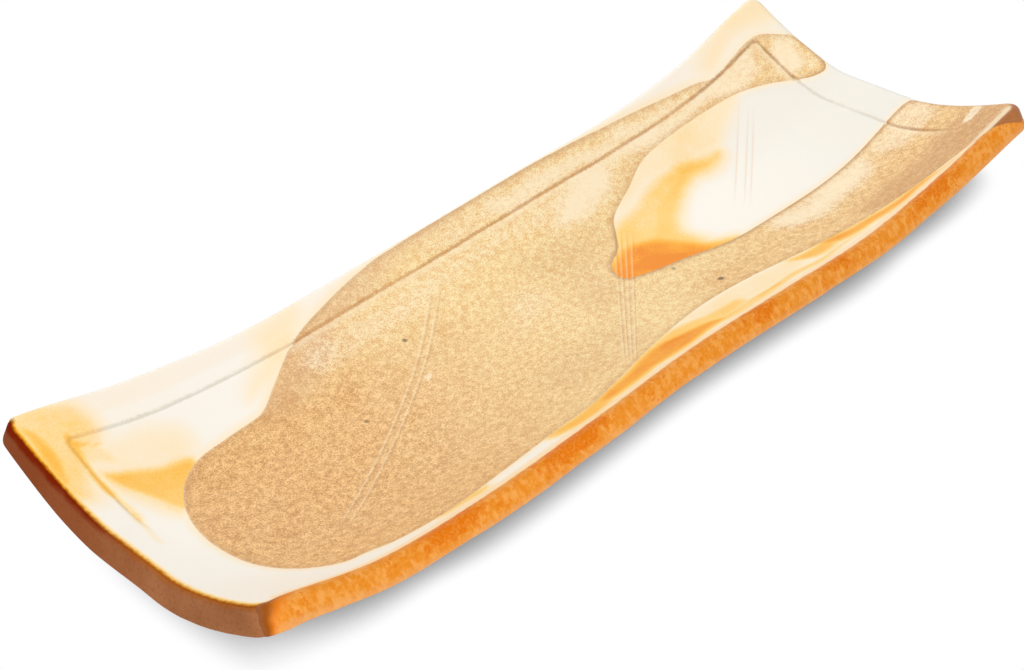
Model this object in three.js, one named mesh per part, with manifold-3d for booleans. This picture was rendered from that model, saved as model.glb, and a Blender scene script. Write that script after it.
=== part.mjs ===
// Long stoneware plate: one pressed clay slab with four lifted corners, and the glaze coats it carries.
// Millimetres, +Z up. +X runs along the plate, -Y is its front long edge.
// The origin is the middle of the flat base that the plate stands on.

import * as THREE from "three";
import Module from "manifold-3d";
import { mergeVertices } from "three/addons/utils/BufferGeometryUtils.js";

const wasm = await Module();
wasm.setup();

// Upper face of the clay slab, measured over its top arrises
const LENGTH = 362;
const WIDTH = 130;
const FRONT_CORNER_RADIUS = 8;
const BACK_CORNER_RADIUS = 4;

// Dish: a level floor that curls up towards the ends and the long rims
const FLOOR_LENGTH = 232;
const FLOOR_WIDTH = 32;
const END_LIFT = 15.5;
const END_CURL = 2.2;
const SIDE_CURL = 1.7;
const CORNER_CURL = 1.5;

// Rim heights over the floor, at even steps from the left end to the right end.
// The slab was lifted by hand, so the two long rims wave a little.
const BACK_RIM = [32.3, 22.3, 16, 15.5, 16, 17, 17.5, 23, 35.3];
const FRONT_RIM = [34.5, 22, 18.5, 19.5, 21.5, 19.5, 17.5, 23, 31.5];

// Slab: a little thicker at its two ends, rubbed flat underneath so that it stands
const SLAB_THICKNESS = 7.4;
const END_THICKNESS = 9;
const BASE_RUB = 0.8;
const TOP_ARRIS = 1.6;
const LOWER_ARRIS = 0.8;

// Frame line pressed into the upper face along the back and down both ends, set in from the rims.
// It runs out before the front: so far behind the middle at the left, so far in front of it at the right.
const FRAME_END_INSET = 13.5;
const FRAME_SIDE_INSET = 12;
const FRAME_LINE_WIDTH = 2.4;
const FRAME_LINE_DEPTH = 0.6;
const FRAME_LEFT_FOOT = 6;
const FRAME_RIGHT_FOOT = -44;
const FRAME_FADE = 16;

// Glaze coats, and the clearance between one coat and what it lies on
const WHITE_COAT = 0.5;
const TAN_COAT = 0.5;
const EDGE_COAT = 0.5;
const SEAT_GAP = 0.25;

// Fineness of the faces
const LENGTH_STEP = 14;
const WIDTH_STEP = 11;
const CORNER_STEPS = 2;
const ARRIS_STEPS = 3;
const POUR_STEPS = 150;
const SLOPE_SPAN = 0.5;

// Outline of the tan pour, in millimetres from the middle of a face of the drawn length and width.
// It runs from the notch at the back, round the left lobe, along the front, round the bare window
// and back along the rear rim. Points past the face run off the right end and its front corner.
const DRAWN_LENGTH = 362;
const DRAWN_WIDTH = 130;
const POUR_OUTLINE = [
  [-108, 36], [-121, 35], [-135, 32.5], [-146, 25], [-154, 11], [-157, -5], [-154, -22], [-147, -38],
  [-139, -47.3], [-131.5, -49], [-123, -52.6], [-106, -55.2], [-80, -53], [-55, -51], [-36, -50.3],
  [-20, -46.3], [8, -38.2], [35, -34], [58, -36], [85, -43], [115, -51], [142, -57], [157, -61.5],
  [167, -66], [176, -70], [183, -64], [181.6, -37], [180, -16], [176.5, -13.6], [140, -13], [100, -12.7],
  [78, -11.5], [58, -6.2], [40, -1.4], [34.2, 1.6], [34.2, 6], [37.5, 11], [47, 16.7], [52.5, 23],
  [58.5, 29.8], [76, 38], [90, 44.2], [108, 46.5], [130, 46.4], [146, 44], [159, 38], [166.5, 32.3],
  [173, 27], [178, 25], [180.6, 28], [180.6, 43], [176.5, 47.6], [165.5, 52.2], [142, 53.6], [136, 55.6],
  [105, 59], [65, 61.6], [25, 62], [-15, 60.7], [-48, 57.4], [-76, 51.5], [-92, 43.2], [-104, 36.8],
];

const COLOURS = {
  clay: 0x9b5f3c,
  white: 0xf6f1e4,
  tan: 0xdcb57c,
  amber: 0xe68c2d,
};

const halfLength = LENGTH / 2;
const halfWidth = WIDTH / 2;
const floorHeight = SLAB_THICKNESS - BASE_RUB;
const faceHalfLength = halfLength - TOP_ARRIS;
const faceHalfWidth = halfWidth - TOP_ARRIS;
const frontCorner = FRONT_CORNER_RADIUS - TOP_ARRIS;
const backCorner = BACK_CORNER_RADIUS - TOP_ARRIS;

const backRim = new THREE.SplineCurve(BACK_RIM.map((height, step) => new THREE.Vector2(step, height)));
const frontRim = new THREE.SplineCurve(FRONT_RIM.map((height, step) => new THREE.Vector2(step, height)));

// 0 over the level floor and 1 at the two ends
function liftShare(x) {
  const beyond = Math.abs(x) - FLOOR_LENGTH / 2;
  return Math.max(0, beyond / (halfLength - FLOOR_LENGTH / 2)) ** END_CURL;
}

// Height of a long rim over the floor at a place along the plate
function rimHeight(rim, x) {
  return rim.getPoint(THREE.MathUtils.clamp((x + halfLength) / LENGTH, 0, 1)).y;
}

// Height of the clay's upper face over the base, before the frame line is pressed in
function faceHeight(x, y) {
  const lift = liftShare(x);
  const middle = END_LIFT * lift;
  const rim = rimHeight(y > 0 ? backRim : frontRim, x);
  const curl = THREE.MathUtils.lerp(SIDE_CURL, CORNER_CURL, Math.min(lift, 1));
  const beyond = (Math.abs(y) - FLOOR_WIDTH / 2) / (halfWidth - FLOOR_WIDTH / 2);
  return floorHeight + middle + (rim - middle) * Math.max(0, beyond) ** curl;
}

// Upward normal of that face
function faceNormal(x, y) {
  const slopeX = (faceHeight(x + SLOPE_SPAN, y) - faceHeight(x - SLOPE_SPAN, y)) / (2 * SLOPE_SPAN);
  const slopeY = (faceHeight(x, y + SLOPE_SPAN) - faceHeight(x, y - SLOPE_SPAN)) / (2 * SLOPE_SPAN);
  return new THREE.Vector3(-slopeX, -slopeY, 1).normalize();
}

// Depth of the pressed frame line, which fades towards the foot of each end
function frameDepth(x, y) {
  const pastEnd = Math.abs(x) - (halfLength - FRAME_END_INSET);
  const pastBack = y - (halfWidth - FRAME_SIDE_INSET);
  const away = Math.abs(Math.max(pastEnd, pastBack)) / (FRAME_LINE_WIDTH / 2);
  const foot = x > 0 ? FRAME_RIGHT_FOOT : FRAME_LEFT_FOOT;
  const press = THREE.MathUtils.smoothstep(y, foot, foot + FRAME_FADE);
  return FRAME_LINE_DEPTH * press * Math.max(0, 1 - away * away);
}

function slabThickness(x) {
  return THREE.MathUtils.lerp(SLAB_THICKNESS, END_THICKNESS, liftShare(x));
}

// Places along half of a side: the marks, and even steps between them no wider than the step
function halfStations(marks, step) {
  const sorted = [...marks].sort((a, b) => a - b);
  const places = [sorted[0]];
  for (let k = 1; k < sorted.length; k += 1) {
    const span = sorted[k] - sorted[k - 1];
    const count = Math.ceil(span / step);
    for (let part = 1; part <= count; part += 1) {
      places.push(sorted[k - 1] + (span * part) / count);
    }
  }
  return places;
}

// The same places on both sides of the middle
function stations(half, floorHalf, frameInset, outerHalf, step) {
  const line = outerHalf - frameInset;
  const marks = [0, floorHalf, line - FRAME_LINE_WIDTH / 2, line, line + FRAME_LINE_WIDTH / 2];
  for (let k = 0; k <= CORNER_STEPS; k += 1) {
    marks.push(half - (frontCorner * k) / CORNER_STEPS, half - (backCorner * k) / CORNER_STEPS);
  }
  const places = halfStations(marks, step);
  return [...places.slice(1).reverse().map((place) => -place), ...places];
}

const columns = stations(faceHalfLength, FLOOR_LENGTH / 2, FRAME_END_INSET, halfLength, LENGTH_STEP);
const rows = stations(faceHalfWidth, FLOOR_WIDTH / 2, FRAME_SIDE_INSET, halfWidth, WIDTH_STEP);

// Plan place of a grid crossing: the four corner squares are drawn in to round corners.
// The plan direction that points out of the plate there comes with it.
function planPlace(column, row) {
  const corner = row < 0 ? frontCorner : backCorner;
  const intoX = (Math.abs(column) - (faceHalfLength - corner)) / corner;
  const intoY = (Math.abs(row) - (faceHalfWidth - corner)) / corner;
  const signX = Math.sign(column);
  const signY = Math.sign(row);
  if (intoX <= 0 || intoY <= 0) {
    const out = intoX > intoY ? [signX, 0] : [0, signY];
    return { x: column, y: row, out: new THREE.Vector3(...out, 0) };
  }
  const reach = Math.max(intoX, intoY);
  const turn = Math.PI / 4;
  const angle = intoX >= intoY ? (turn * intoY) / intoX : 2 * turn - (turn * intoX) / intoY;
  const out = new THREE.Vector3(signX * Math.cos(angle), signY * Math.sin(angle), 0);
  return {
    x: signX * (faceHalfLength - corner) + corner * reach * out.x,
    y: signY * (faceHalfWidth - corner) + corner * reach * out.y,
    out,
  };
}

// A grid crossing on the clay: the face point, its normal, the way out of the plate along the face,
// how deep the frame line is pressed there and how thick the slab is
function crossing(column, row) {
  const { x, y, out } = planPlace(column, row);
  const face = new THREE.Vector3(x, y, faceHeight(x, y));
  const normal = faceNormal(x, y);
  const away = out.clone().addScaledVector(normal, -out.dot(normal)).normalize();
  return { face, normal, away, pressed: frameDepth(x, y), thickness: slabThickness(x) };
}

const grid = rows.map((row) => columns.map((column) => crossing(column, row)));

// The crossings round the outside of the grid, counterclockwise from above
const rimLoop = [
  ...grid[0].slice(0, -1),
  ...grid.slice(0, -1).map((line) => line.at(-1)),
  ...grid.at(-1).slice(1).reverse(),
  ...grid.slice(1).reverse().map((line) => line[0]),
];

// A point beside a crossing, so far along the normal and so far out along the face
function beside({ face, normal, away }, up, outward) {
  return face.clone().addScaledVector(normal, up).addScaledVector(away, outward);
}

// A point on the round of the top arris, from 0 on the face to a right angle on the cut edge
function onTopArris(place, angle, radius) {
  return beside(place, radius * Math.cos(angle) - TOP_ARRIS, radius * Math.sin(angle));
}

// A point on the round of the lower arris, from 0 on the cut edge to a right angle underneath
function onLowerArris(place, angle) {
  const up = LOWER_ARRIS * (1 - Math.sin(angle)) - place.thickness;
  return beside(place, up, TOP_ARRIS - LOWER_ARRIS * (1 - Math.cos(angle)));
}

// The underside lies a slab's thickness below the face and is rubbed flat at the base
function underside(place) {
  const point = beside(place, -place.thickness, 0);
  point.z = Math.max(point.z, 0);
  return point;
}

function geometryOf(points, triangles) {
  const geometry = new THREE.BufferGeometry();
  geometry.setAttribute("position", new THREE.Float32BufferAttribute(points.flatMap((p) => p.toArray()), 3));
  geometry.setIndex(triangles.flat());
  return geometry;
}

// Two triangles between four corners that run counterclockwise seen from outside
function quad(a, b, c, d) {
  return [[a, b, c], [a, c, d]];
}

// Closed solid between an upper and a lower sheet of grid points.
// The rings are loops round the rim, from the upper sheet down to the lower one.
function sheetSolid(upperPoint, lowerPoint, rings) {
  const wide = columns.length;
  const count = wide * rows.length;
  const places = grid.flat();
  const points = [...places.map(upperPoint), ...places.map(lowerPoint), ...rings.flat()];
  const triangles = [];
  for (let row = 0; row + 1 < rows.length; row += 1) {
    for (let column = 0; column + 1 < wide; column += 1) {
      const a = row * wide + column;
      triangles.push(...quad(a, a + 1, a + wide + 1, a + wide));
      triangles.push(...quad(count + a, count + a + wide, count + a + wide + 1, count + a + 1));
    }
  }
  const upperLoop = rimLoop.map((place) => places.indexOf(place));
  const ringLoops = rings.map((ring, level) => ring.map((_, k) => 2 * count + level * ring.length + k));
  const loops = [upperLoop, ...ringLoops, upperLoop.map((index) => count + index)];
  for (let level = 0; level + 1 < loops.length; level += 1) {
    const above = loops[level];
    const below = loops[level + 1];
    for (let k = 0; k < above.length; k += 1) {
      const next = (k + 1) % above.length;
      triangles.push(...quad(above[k], below[k], below[next], above[next]));
    }
  }
  return geometryOf(points, triangles);
}

function mesh(name, geometry, colour, roughness) {
  geometry.computeVertexNormals();
  const material = new THREE.MeshStandardMaterial({ color: colour, roughness, metalness: 0 });
  const result = new THREE.Mesh(geometry, material);
  result.name = name;
  return result;
}

// Angles over a quarter turn, without its start
function quarterTurn(steps) {
  return Array.from({ length: steps }, (_, k) => ((k + 1) / steps) * (Math.PI / 2));
}

function claySlab() {
  const topRings = quarterTurn(ARRIS_STEPS).map((angle) =>
    rimLoop.map((place) => onTopArris(place, angle, TOP_ARRIS)));
  const lowerRings = [0, ...quarterTurn(ARRIS_STEPS - 1)].map((angle) =>
    rimLoop.map((place) => onLowerArris(place, angle)));
  return sheetSolid((place) => beside(place, -place.pressed, 0), underside, [...topRings, ...lowerRings]);
}

// An even coat over the whole upper face, between two heights along the normal
function coat(low, high) {
  const sheet = (height) => (place) => beside(place, height - place.pressed, 0);
  return sheetSolid(sheet(high), sheet(low), []);
}

function toSolid(geometry) {
  const bare = geometry.clone();
  bare.deleteAttribute("normal");
  bare.deleteAttribute("uv");
  const merged = mergeVertices(bare);
  const vertProperties = new Float32Array(merged.attributes.position.array);
  const triVerts = new Uint32Array(merged.index.array);
  return new wasm.Manifold(new wasm.Mesh({ numProp: 3, vertProperties, triVerts }));
}

function fromSolid(solid) {
  const { vertProperties, triVerts } = solid.getMesh();
  const geometry = new THREE.BufferGeometry();
  geometry.setAttribute("position", new THREE.BufferAttribute(vertProperties, 3));
  geometry.setIndex(new THREE.BufferAttribute(triVerts, 1));
  return geometry;
}

// The pour is the part of a second coat that lies inside its outline
function tanPour() {
  const low = 2 * SEAT_GAP + WHITE_COAT;
  const stretchX = LENGTH / DRAWN_LENGTH;
  const stretchY = WIDTH / DRAWN_WIDTH;
  const points = POUR_OUTLINE.map(([x, y]) => new THREE.Vector3(x * stretchX, y * stretchY, 0));
  const outline = new THREE.CatmullRomCurve3(points, true).getPoints(POUR_STEPS);
  const shape = new THREE.Shape(outline.map((point) => new THREE.Vector2(point.x, point.y)));
  const tall = Math.max(...BACK_RIM, ...FRONT_RIM) + SLAB_THICKNESS + low + TAN_COAT;
  const prism = new THREE.ExtrudeGeometry(shape, { depth: tall, bevelEnabled: false });
  return fromSolid(toSolid(coat(low, low + TAN_COAT)).intersect(toSolid(prism)));
}

// A coat on one long cut edge, from the top arris to the lower one, that stops at the round corners
function edgeCoat(rimLine, corner) {
  const straightHalf = faceHalfLength - corner + SEAT_GAP;
  const straight = rimLine.filter(({ face }) => Math.abs(face.x) < straightHalf);
  const start = SEAT_GAP / TOP_ARRIS;
  const angles = [start, ...quarterTurn(ARRIS_STEPS)];
  const section = (place, lift) => [
    ...angles.map((angle) => onTopArris(place, angle, TOP_ARRIS + lift)),
    beside(place, LOWER_ARRIS - place.thickness, TOP_ARRIS + lift),
  ];
  const deep = angles.length + 1;
  const points = straight.flatMap((place) => [
    ...section(place, SEAT_GAP + EDGE_COAT),
    ...section(place, SEAT_GAP).reverse(),
  ]);
  const round = 2 * deep;
  const triangles = [];
  for (let k = 0; k + 1 < straight.length; k += 1) {
    for (let side = 0; side < round; side += 1) {
      const next = (side + 1) % round;
      const here = k * round;
      const ahead = here + round;
      triangles.push(...quad(here + side, here + next, ahead + next, ahead + side));
    }
  }
  const last = (straight.length - 1) * round;
  for (let side = 0; side + 1 < deep; side += 1) {
    const across = round - 1 - side;
    triangles.push(...quad(side, across, across - 1, side + 1));
    triangles.push(...quad(last + side, last + side + 1, last + across - 1, last + across));
  }
  return geometryOf(points, triangles);
}

const plate = new THREE.Group();
plate.name = "long_plate";
plate.add(mesh("clay_slab", claySlab(), COLOURS.clay, 0.85));
plate.add(mesh("white_glaze", coat(SEAT_GAP, SEAT_GAP + WHITE_COAT), COLOURS.white, 0.2));
plate.add(mesh("tan_glaze_pour", tanPour(), COLOURS.tan, 0.35));
plate.add(mesh("front_edge_glaze", edgeCoat(grid[0], frontCorner), COLOURS.amber, 0.3));
plate.add(mesh("back_edge_glaze", edgeCoat([...grid.at(-1)].reverse(), backCorner), COLOURS.amber, 0.3));

export default plate;
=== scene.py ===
"""Long stoneware plate: its fired and glazed surface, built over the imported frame.

The plate is one dished clay slab. A cream-white glaze covers its upper face, a tan speckled glaze was
poured over that, and an amber coat runs along the two long cut edges. Sizes are in millimetres in the
row frame and become metres when a mesh is made.
"""

import logging
import math
from collections.abc import Callable
from dataclasses import dataclass, field
from enum import Enum
from functools import cached_property

import bpy
import numpy as np
from mathutils import Matrix, Vector

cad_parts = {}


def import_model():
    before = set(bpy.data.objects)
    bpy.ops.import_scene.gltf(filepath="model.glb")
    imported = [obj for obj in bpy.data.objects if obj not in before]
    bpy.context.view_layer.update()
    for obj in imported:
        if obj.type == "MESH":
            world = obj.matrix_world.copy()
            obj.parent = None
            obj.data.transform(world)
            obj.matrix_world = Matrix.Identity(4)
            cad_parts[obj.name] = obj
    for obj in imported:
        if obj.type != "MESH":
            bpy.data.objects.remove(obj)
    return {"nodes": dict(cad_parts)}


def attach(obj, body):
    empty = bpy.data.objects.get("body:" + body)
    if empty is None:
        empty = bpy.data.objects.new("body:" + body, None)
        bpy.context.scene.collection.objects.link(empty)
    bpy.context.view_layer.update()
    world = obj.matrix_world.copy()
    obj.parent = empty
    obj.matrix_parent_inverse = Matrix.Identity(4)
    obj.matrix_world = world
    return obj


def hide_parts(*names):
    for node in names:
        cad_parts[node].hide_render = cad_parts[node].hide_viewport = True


log = logging.getLogger("long_plate")

MM = 0.001
QUARTER = math.pi / 2
TINY = 1e-9
# The way out of the face is asked for a little outside its edge, where it is certain
JUST_OUTSIDE = 1 + 1e-6
# Outline points keep this share of a grid step clear of the grid's own corners
CORNER_CLEARANCE = 0.04
CREASE_DEGREES = 50.0
NOISE_ROUGHNESS = 0.6
PHOTO_WIDTH = 1024

Array = np.ndarray
Link = bpy.types.NodeSocket
Points = tuple[tuple[float, float], ...]
Span = tuple[float, float]


def linear(colour: str) -> tuple[float, float, float, float]:
    """Turns an sRGB hex colour into linear light.

    Args:
        colour: six hex digits after a hash sign.

    Returns:
        Red, green, blue and an alpha of 1.
    """
    channels = [int(colour[k:k + 2], 16) / 255 for k in (1, 3, 5)]
    bright = [c / 12.92 if c <= 0.04045 else ((c + 0.055) / 1.055) ** 2.4 for c in channels]
    return (*bright, 1.0)


def ease(value: Array, low: float, high: float) -> Array:
    """Smooth step from 0 at low to 1 at high; low may be the larger."""
    share = np.clip((value - low) / (high - low), 0, 1)
    return share * share * (3 - 2 * share)


def places(low: float, high: float, step: float) -> Array:
    """Even places from low to high, about a step apart."""
    return np.linspace(low, high, round((high - low) / step) + 1)


def quads(number: Array) -> Array:
    """The four corner numbers of each cell of a grid, in turn round the cell."""
    return np.stack([number[:-1, :-1], number[:-1, 1:], number[1:, 1:], number[1:, :-1]], -1)


def cubic(start: Array, end: Array, leave: Array, arrive: Array, part: Array | float) -> Array:
    """Curve between two values that leaves and arrives at given slopes.

    Args:
        start: values at its start.
        end: values at its end.
        leave: slopes at its start.
        arrive: slopes at its end.
        part: places along it, from 0 to 1.

    Returns:
        The curve's values at those places.
    """
    third = (2 * start - 2 * end + leave + arrive) * part ** 3
    return third + (-3 * start + 3 * end - 2 * leave - arrive) * part ** 2 + leave * part + start


def through_points(heights: tuple[float, ...], share: Array) -> Array:
    """Smooth curve through evenly spaced heights.

    Args:
        heights: the values it passes through, from start to end.
        share: places along it, from 0 to 1.

    Returns:
        The curve's value at each place.
    """
    values = np.asarray(heights)
    last = len(values) - 1
    place = np.clip(share, 0, 1) * last
    low = np.minimum(place.astype(int), last - 1)
    start, end = values[low], values[low + 1]
    leave = (end - values[np.maximum(low - 1, 0)]) / 2
    arrive = (values[np.minimum(low + 2, last)] - start) / 2
    return cubic(start, end, leave, arrive, place - low)


def closed_curve(points: Points, steps: int) -> Array:
    """Closed centripetal curve through plan points.

    Args:
        points: the corners it passes through, in order.
        steps: how many straight steps each span is cut into.

    Returns:
        The polygon's corners, one row each.
    """
    knots = np.asarray(points, float)
    before, after, later = np.roll(knots, 1, 0), np.roll(knots, -1, 0), np.roll(knots, -2, 0)
    gap = [np.sqrt(np.linalg.norm(b - a, axis=1))[:, None] for a, b in
           ((before, knots), (knots, after), (after, later))]
    leave = (knots - before) / gap[0] - (after - before) / (gap[0] + gap[1]) + (after - knots) / gap[1]
    arrive = (after - knots) / gap[1] - (later - knots) / (gap[1] + gap[2]) + (later - after) / gap[2]
    rows = [cubic(knots, after, leave * gap[1], arrive * gap[1], part) for part in np.arange(steps) / steps]
    return np.stack(rows, 1).reshape(-1, 2)


def signed_distance(x: Array, y: Array, polygon: Array) -> Array:
    """Distance of plan points from a closed polygon.

    Args:
        x: places along the plate.
        y: places across it.
        polygon: the corners, one row each.

    Returns:
        Millimetres, below 0 inside the polygon.
    """
    nearest = np.full(x.shape, np.inf)
    inside = np.zeros(x.shape, bool)
    for (ax, ay), (bx, by) in zip(polygon, np.roll(polygon, -1, 0)):
        dx, dy = bx - ax, by - ay
        share = np.clip(((x - ax) * dx + (y - ay) * dy) / (dx * dx + dy * dy), 0, 1)
        nearest = np.minimum(nearest, np.hypot(x - ax - share * dx, y - ay - share * dy))
        if ay != by:
            crosses = (ay > y) != (by > y)
            inside ^= crosses & (x < ax + (y - ay) * dx / dy)
    return np.where(inside, -nearest, nearest)


@dataclass(frozen=True)
class PlateForm:
    """The dished slab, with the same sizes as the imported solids."""

    length: float = 362.0
    width: float = 130.0
    front_corner: float = 8.0
    back_corner: float = 4.0
    floor_length: float = 232.0
    floor_width: float = 32.0
    end_lift: float = 15.5
    end_curl: float = 2.2
    side_curl: float = 1.7
    corner_curl: float = 1.5
    back_rim: tuple[float, ...] = (32.3, 22.3, 16.0, 15.5, 16.0, 17.0, 17.5, 23.0, 35.3)
    front_rim: tuple[float, ...] = (34.5, 22.0, 18.5, 19.5, 21.5, 19.5, 17.5, 23.0, 31.5)
    slab_thickness: float = 7.4
    end_thickness: float = 9.0
    base_rub: float = 0.8
    top_arris: float = 1.6
    lower_arris: float = 0.8
    slope_span: float = 0.5

    @property
    def face_half(self) -> tuple[float, float]:
        """Half length and half width of the face, up to where its arris begins to turn."""
        return self.length / 2 - self.top_arris, self.width / 2 - self.top_arris

    def face_corner(self, y: Array) -> Array:
        """Radius of the face's corners in plan, at the front or at the back."""
        return np.where(y < 0, self.front_corner, self.back_corner) - self.top_arris

    def into_corner(self, x: Array, y: Array) -> tuple[Array, Array]:
        """How far points lie past the centre of the nearest corner's round, along and across."""
        radius = self.face_corner(y)
        return np.abs(x) - (self.face_half[0] - radius), np.abs(y) - (self.face_half[1] - radius)

    def lift_share(self, x: Array) -> Array:
        """0 over the level floor and 1 at the two ends."""
        beyond = (np.abs(x) - self.floor_length / 2) / (self.length / 2 - self.floor_length / 2)
        return np.maximum(beyond, 0) ** self.end_curl

    def thickness(self, x: Array) -> Array:
        """Thickness of the slab, which grows towards its ends."""
        return self.slab_thickness + (self.end_thickness - self.slab_thickness) * self.lift_share(x)

    def height(self, x: Array, y: Array) -> Array:
        """Height of the clay's upper face over the base.

        Args:
            x: places along the plate.
            y: places across it.

        Returns:
            Millimetres above the surface that the plate stands on.
        """
        lift = self.lift_share(x)
        middle = self.end_lift * lift
        share = (x + self.length / 2) / self.length
        rim = np.where(y > 0, through_points(self.back_rim, share), through_points(self.front_rim, share))
        curl = self.side_curl + (self.corner_curl - self.side_curl) * np.minimum(lift, 1)
        half_floor = self.floor_width / 2
        beyond = np.maximum((np.abs(y) - half_floor) / (self.width / 2 - half_floor), 0)
        return self.slab_thickness - self.base_rub + middle + (rim - middle) * beyond ** curl

    def normal(self, x: Array, y: Array) -> Array:
        """Which way the clay's upper face points.

        Args:
            x: places along the plate.
            y: places across it.

        Returns:
            Upward unit normals, one row each.
        """
        span = self.slope_span
        slope_x = (self.height(x + span, y) - self.height(x - span, y)) / (2 * span)
        slope_y = (self.height(x, y + span) - self.height(x, y - span)) / (2 * span)
        rows = np.stack([-slope_x, -slope_y, np.ones_like(slope_x)], -1)
        return rows / np.linalg.norm(rows, axis=-1, keepdims=True)

    def past_face(self, x: Array, y: Array) -> tuple[Array, Array, Array]:
        """How far plan points lie past the face's edge, and which way is out there.

        Args:
            x: places along the plate, unrolled past its edge.
            y: places across it, unrolled likewise.

        Returns:
            The distance past the edge, below 0 on the face, and the two parts of the way out.
        """
        into_x, into_y = self.into_corner(x, y)
        corner = (into_x > 0) & (into_y > 0)
        reach = np.maximum(np.hypot(into_x, into_y), TINY)
        beyond = np.where(corner, reach, np.maximum(into_x, into_y)) - self.face_corner(y)
        out_x = np.where(corner, into_x / reach, into_x > into_y) * np.sign(x)
        out_y = np.where(corner, into_y / reach, into_x <= into_y) * np.sign(y)
        return beyond, out_x, out_y

    def skin(self, x: Array, y: Array, lift: Array) -> Array:
        """Points over the slab: on its face, or rolled over its edge where they lie past the face.

        Args:
            x: places along the plate, unrolled past its edge.
            y: places across it, unrolled likewise.
            lift: height over the clay, along its normal.

        Returns:
            Points in millimetres, one row each.
        """
        beyond, out_x, out_y = self.past_face(x, y)
        past = np.maximum(beyond, 0)
        base_x, base_y = x - past * out_x, y - past * out_y
        normal = self.normal(base_x, base_y)
        out = np.stack([out_x, out_y, np.zeros_like(out_x)], -1)
        away = out - normal * np.sum(out * normal, -1, keepdims=True)
        away /= np.maximum(np.linalg.norm(away, axis=-1, keepdims=True), TINY)
        upper, lower = self.top_arris + lift, self.lower_arris + lift
        cut = self.thickness(base_x) - self.top_arris - self.lower_arris
        turn = np.clip(past / upper, 0, QUARTER)
        down = np.clip(past - upper * QUARTER, 0, cut)
        tuck = np.clip((past - upper * QUARTER - cut) / lower, 0, QUARTER)
        up = upper * np.cos(turn) - self.top_arris - down - lower * np.sin(tuck)
        outward = upper * np.sin(turn) - lower * (1 - np.cos(tuck))
        base = np.stack([base_x, base_y, self.height(base_x, base_y)], -1)
        return base + normal * up[..., None] + away * outward[..., None]


def end_share(out_x: Array) -> Array:
    """0 along the long sides and 1 at the ends and most of the way round the corners."""
    return ease(np.abs(out_x), 0.05, 0.6)


@dataclass(frozen=True)
class CombStroke:
    """One pull of a comb through the soft clay: tines side by side along a slightly bowed path."""

    start: tuple[float, float]
    end: tuple[float, float]
    tines: tuple[float, ...]
    bow: float = 0.0
    flare: float = 1.0
    depth: float = 0.14
    half_width: float = 0.6
    fade: float = 0.12
    ridge: float = 1.2
    least_spread: float = 0.1

    @property
    def length(self) -> float:
        """Straight length of the pull."""
        return math.dist(self.start, self.end)

    @property
    def heading(self) -> float:
        """Angle of the pull from the plate's length, in radians."""
        return math.atan2(self.end[1] - self.start[1], self.end[0] - self.start[0])

    def relief(self, x: Array, y: Array) -> Array:
        """Depth of the tines' furrows, below 0 on the ridges they push up.

        Args:
            x: places along the plate.
            y: places across it.

        Returns:
            Millimetres into the face.
        """
        cos, sin = math.cos(self.heading), math.sin(self.heading)
        share = ((x - self.start[0]) * cos + (y - self.start[1]) * sin) / self.length
        side = (y - self.start[1]) * cos - (x - self.start[0]) * sin
        spread = self.flare + (1 - self.flare) * share
        spread = np.where(np.abs(spread) < self.least_spread, self.least_spread, spread)
        offset = (side - 4 * self.bow * share * (1 - share)) / spread
        total = np.zeros(x.shape)
        for tine in self.tines:
            across = (offset - tine) / self.half_width
            total += (1 - self.ridge * across ** 2) * np.exp(-across ** 2)
        return self.depth * total * ease(share, 0, self.fade) * ease(share, 1, 1 - self.fade)


@dataclass(frozen=True)
class PressedLines:
    """What was pressed and combed into the face before it was glazed."""

    form: PlateForm
    end_inset: float = 13.5
    back_inset: float = 12.0
    corner: float = 2.5
    line_width: float = 1.7
    line_depth: float = 0.4
    left_foot: float = 4.0
    right_foot: float = -50.0
    fade: float = 22.0
    strokes: tuple[CombStroke, ...] = (
        CombStroke((-124, -26.5), (-17, 45), (-1.5, 1.3), bow=-4.4),
        CombStroke((-9, -42.5), (58, 23), (-2.4, -0.1, 2.1, 4.2), flare=0.55),
        CombStroke((92, -3), (150, 43.5), (-3.75, -1.5, 2.2), depth=0.06, fade=0.4),
    )

    @property
    def bend_centre(self) -> tuple[float, float]:
        """Where the rounds of the line's two corners are struck from, as half length and half width."""
        form = self.form
        return form.length / 2 - self.end_inset - self.corner, form.width / 2 - self.back_inset - self.corner

    def frame_line(self, x: Array, y: Array) -> Array:
        """The frame line, which runs along the back, round two corners and down both ends.

        Args:
            x: places along the plate.
            y: places across it.

        Returns:
            Share of the line's depth.
        """
        into_x, into_y = np.abs(x) - self.bend_centre[0], y - self.bend_centre[1]
        bend = np.hypot(np.maximum(into_x, 0), np.maximum(into_y, 0))
        reach = bend + np.minimum(np.maximum(into_x, into_y), 0) - self.corner
        across = np.abs(reach) / (self.line_width / 2)
        foot = np.where(x > 0, self.right_foot, self.left_foot)
        return np.maximum(0, 1 - across ** 2) * ease(y - foot, 0, self.fade)

    def relief(self, x: Array, y: Array) -> Array:
        """Depth of all the lines, in millimetres into the face."""
        return self.line_depth * self.frame_line(x, y) + sum(s.relief(x, y) for s in self.strokes)


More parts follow.
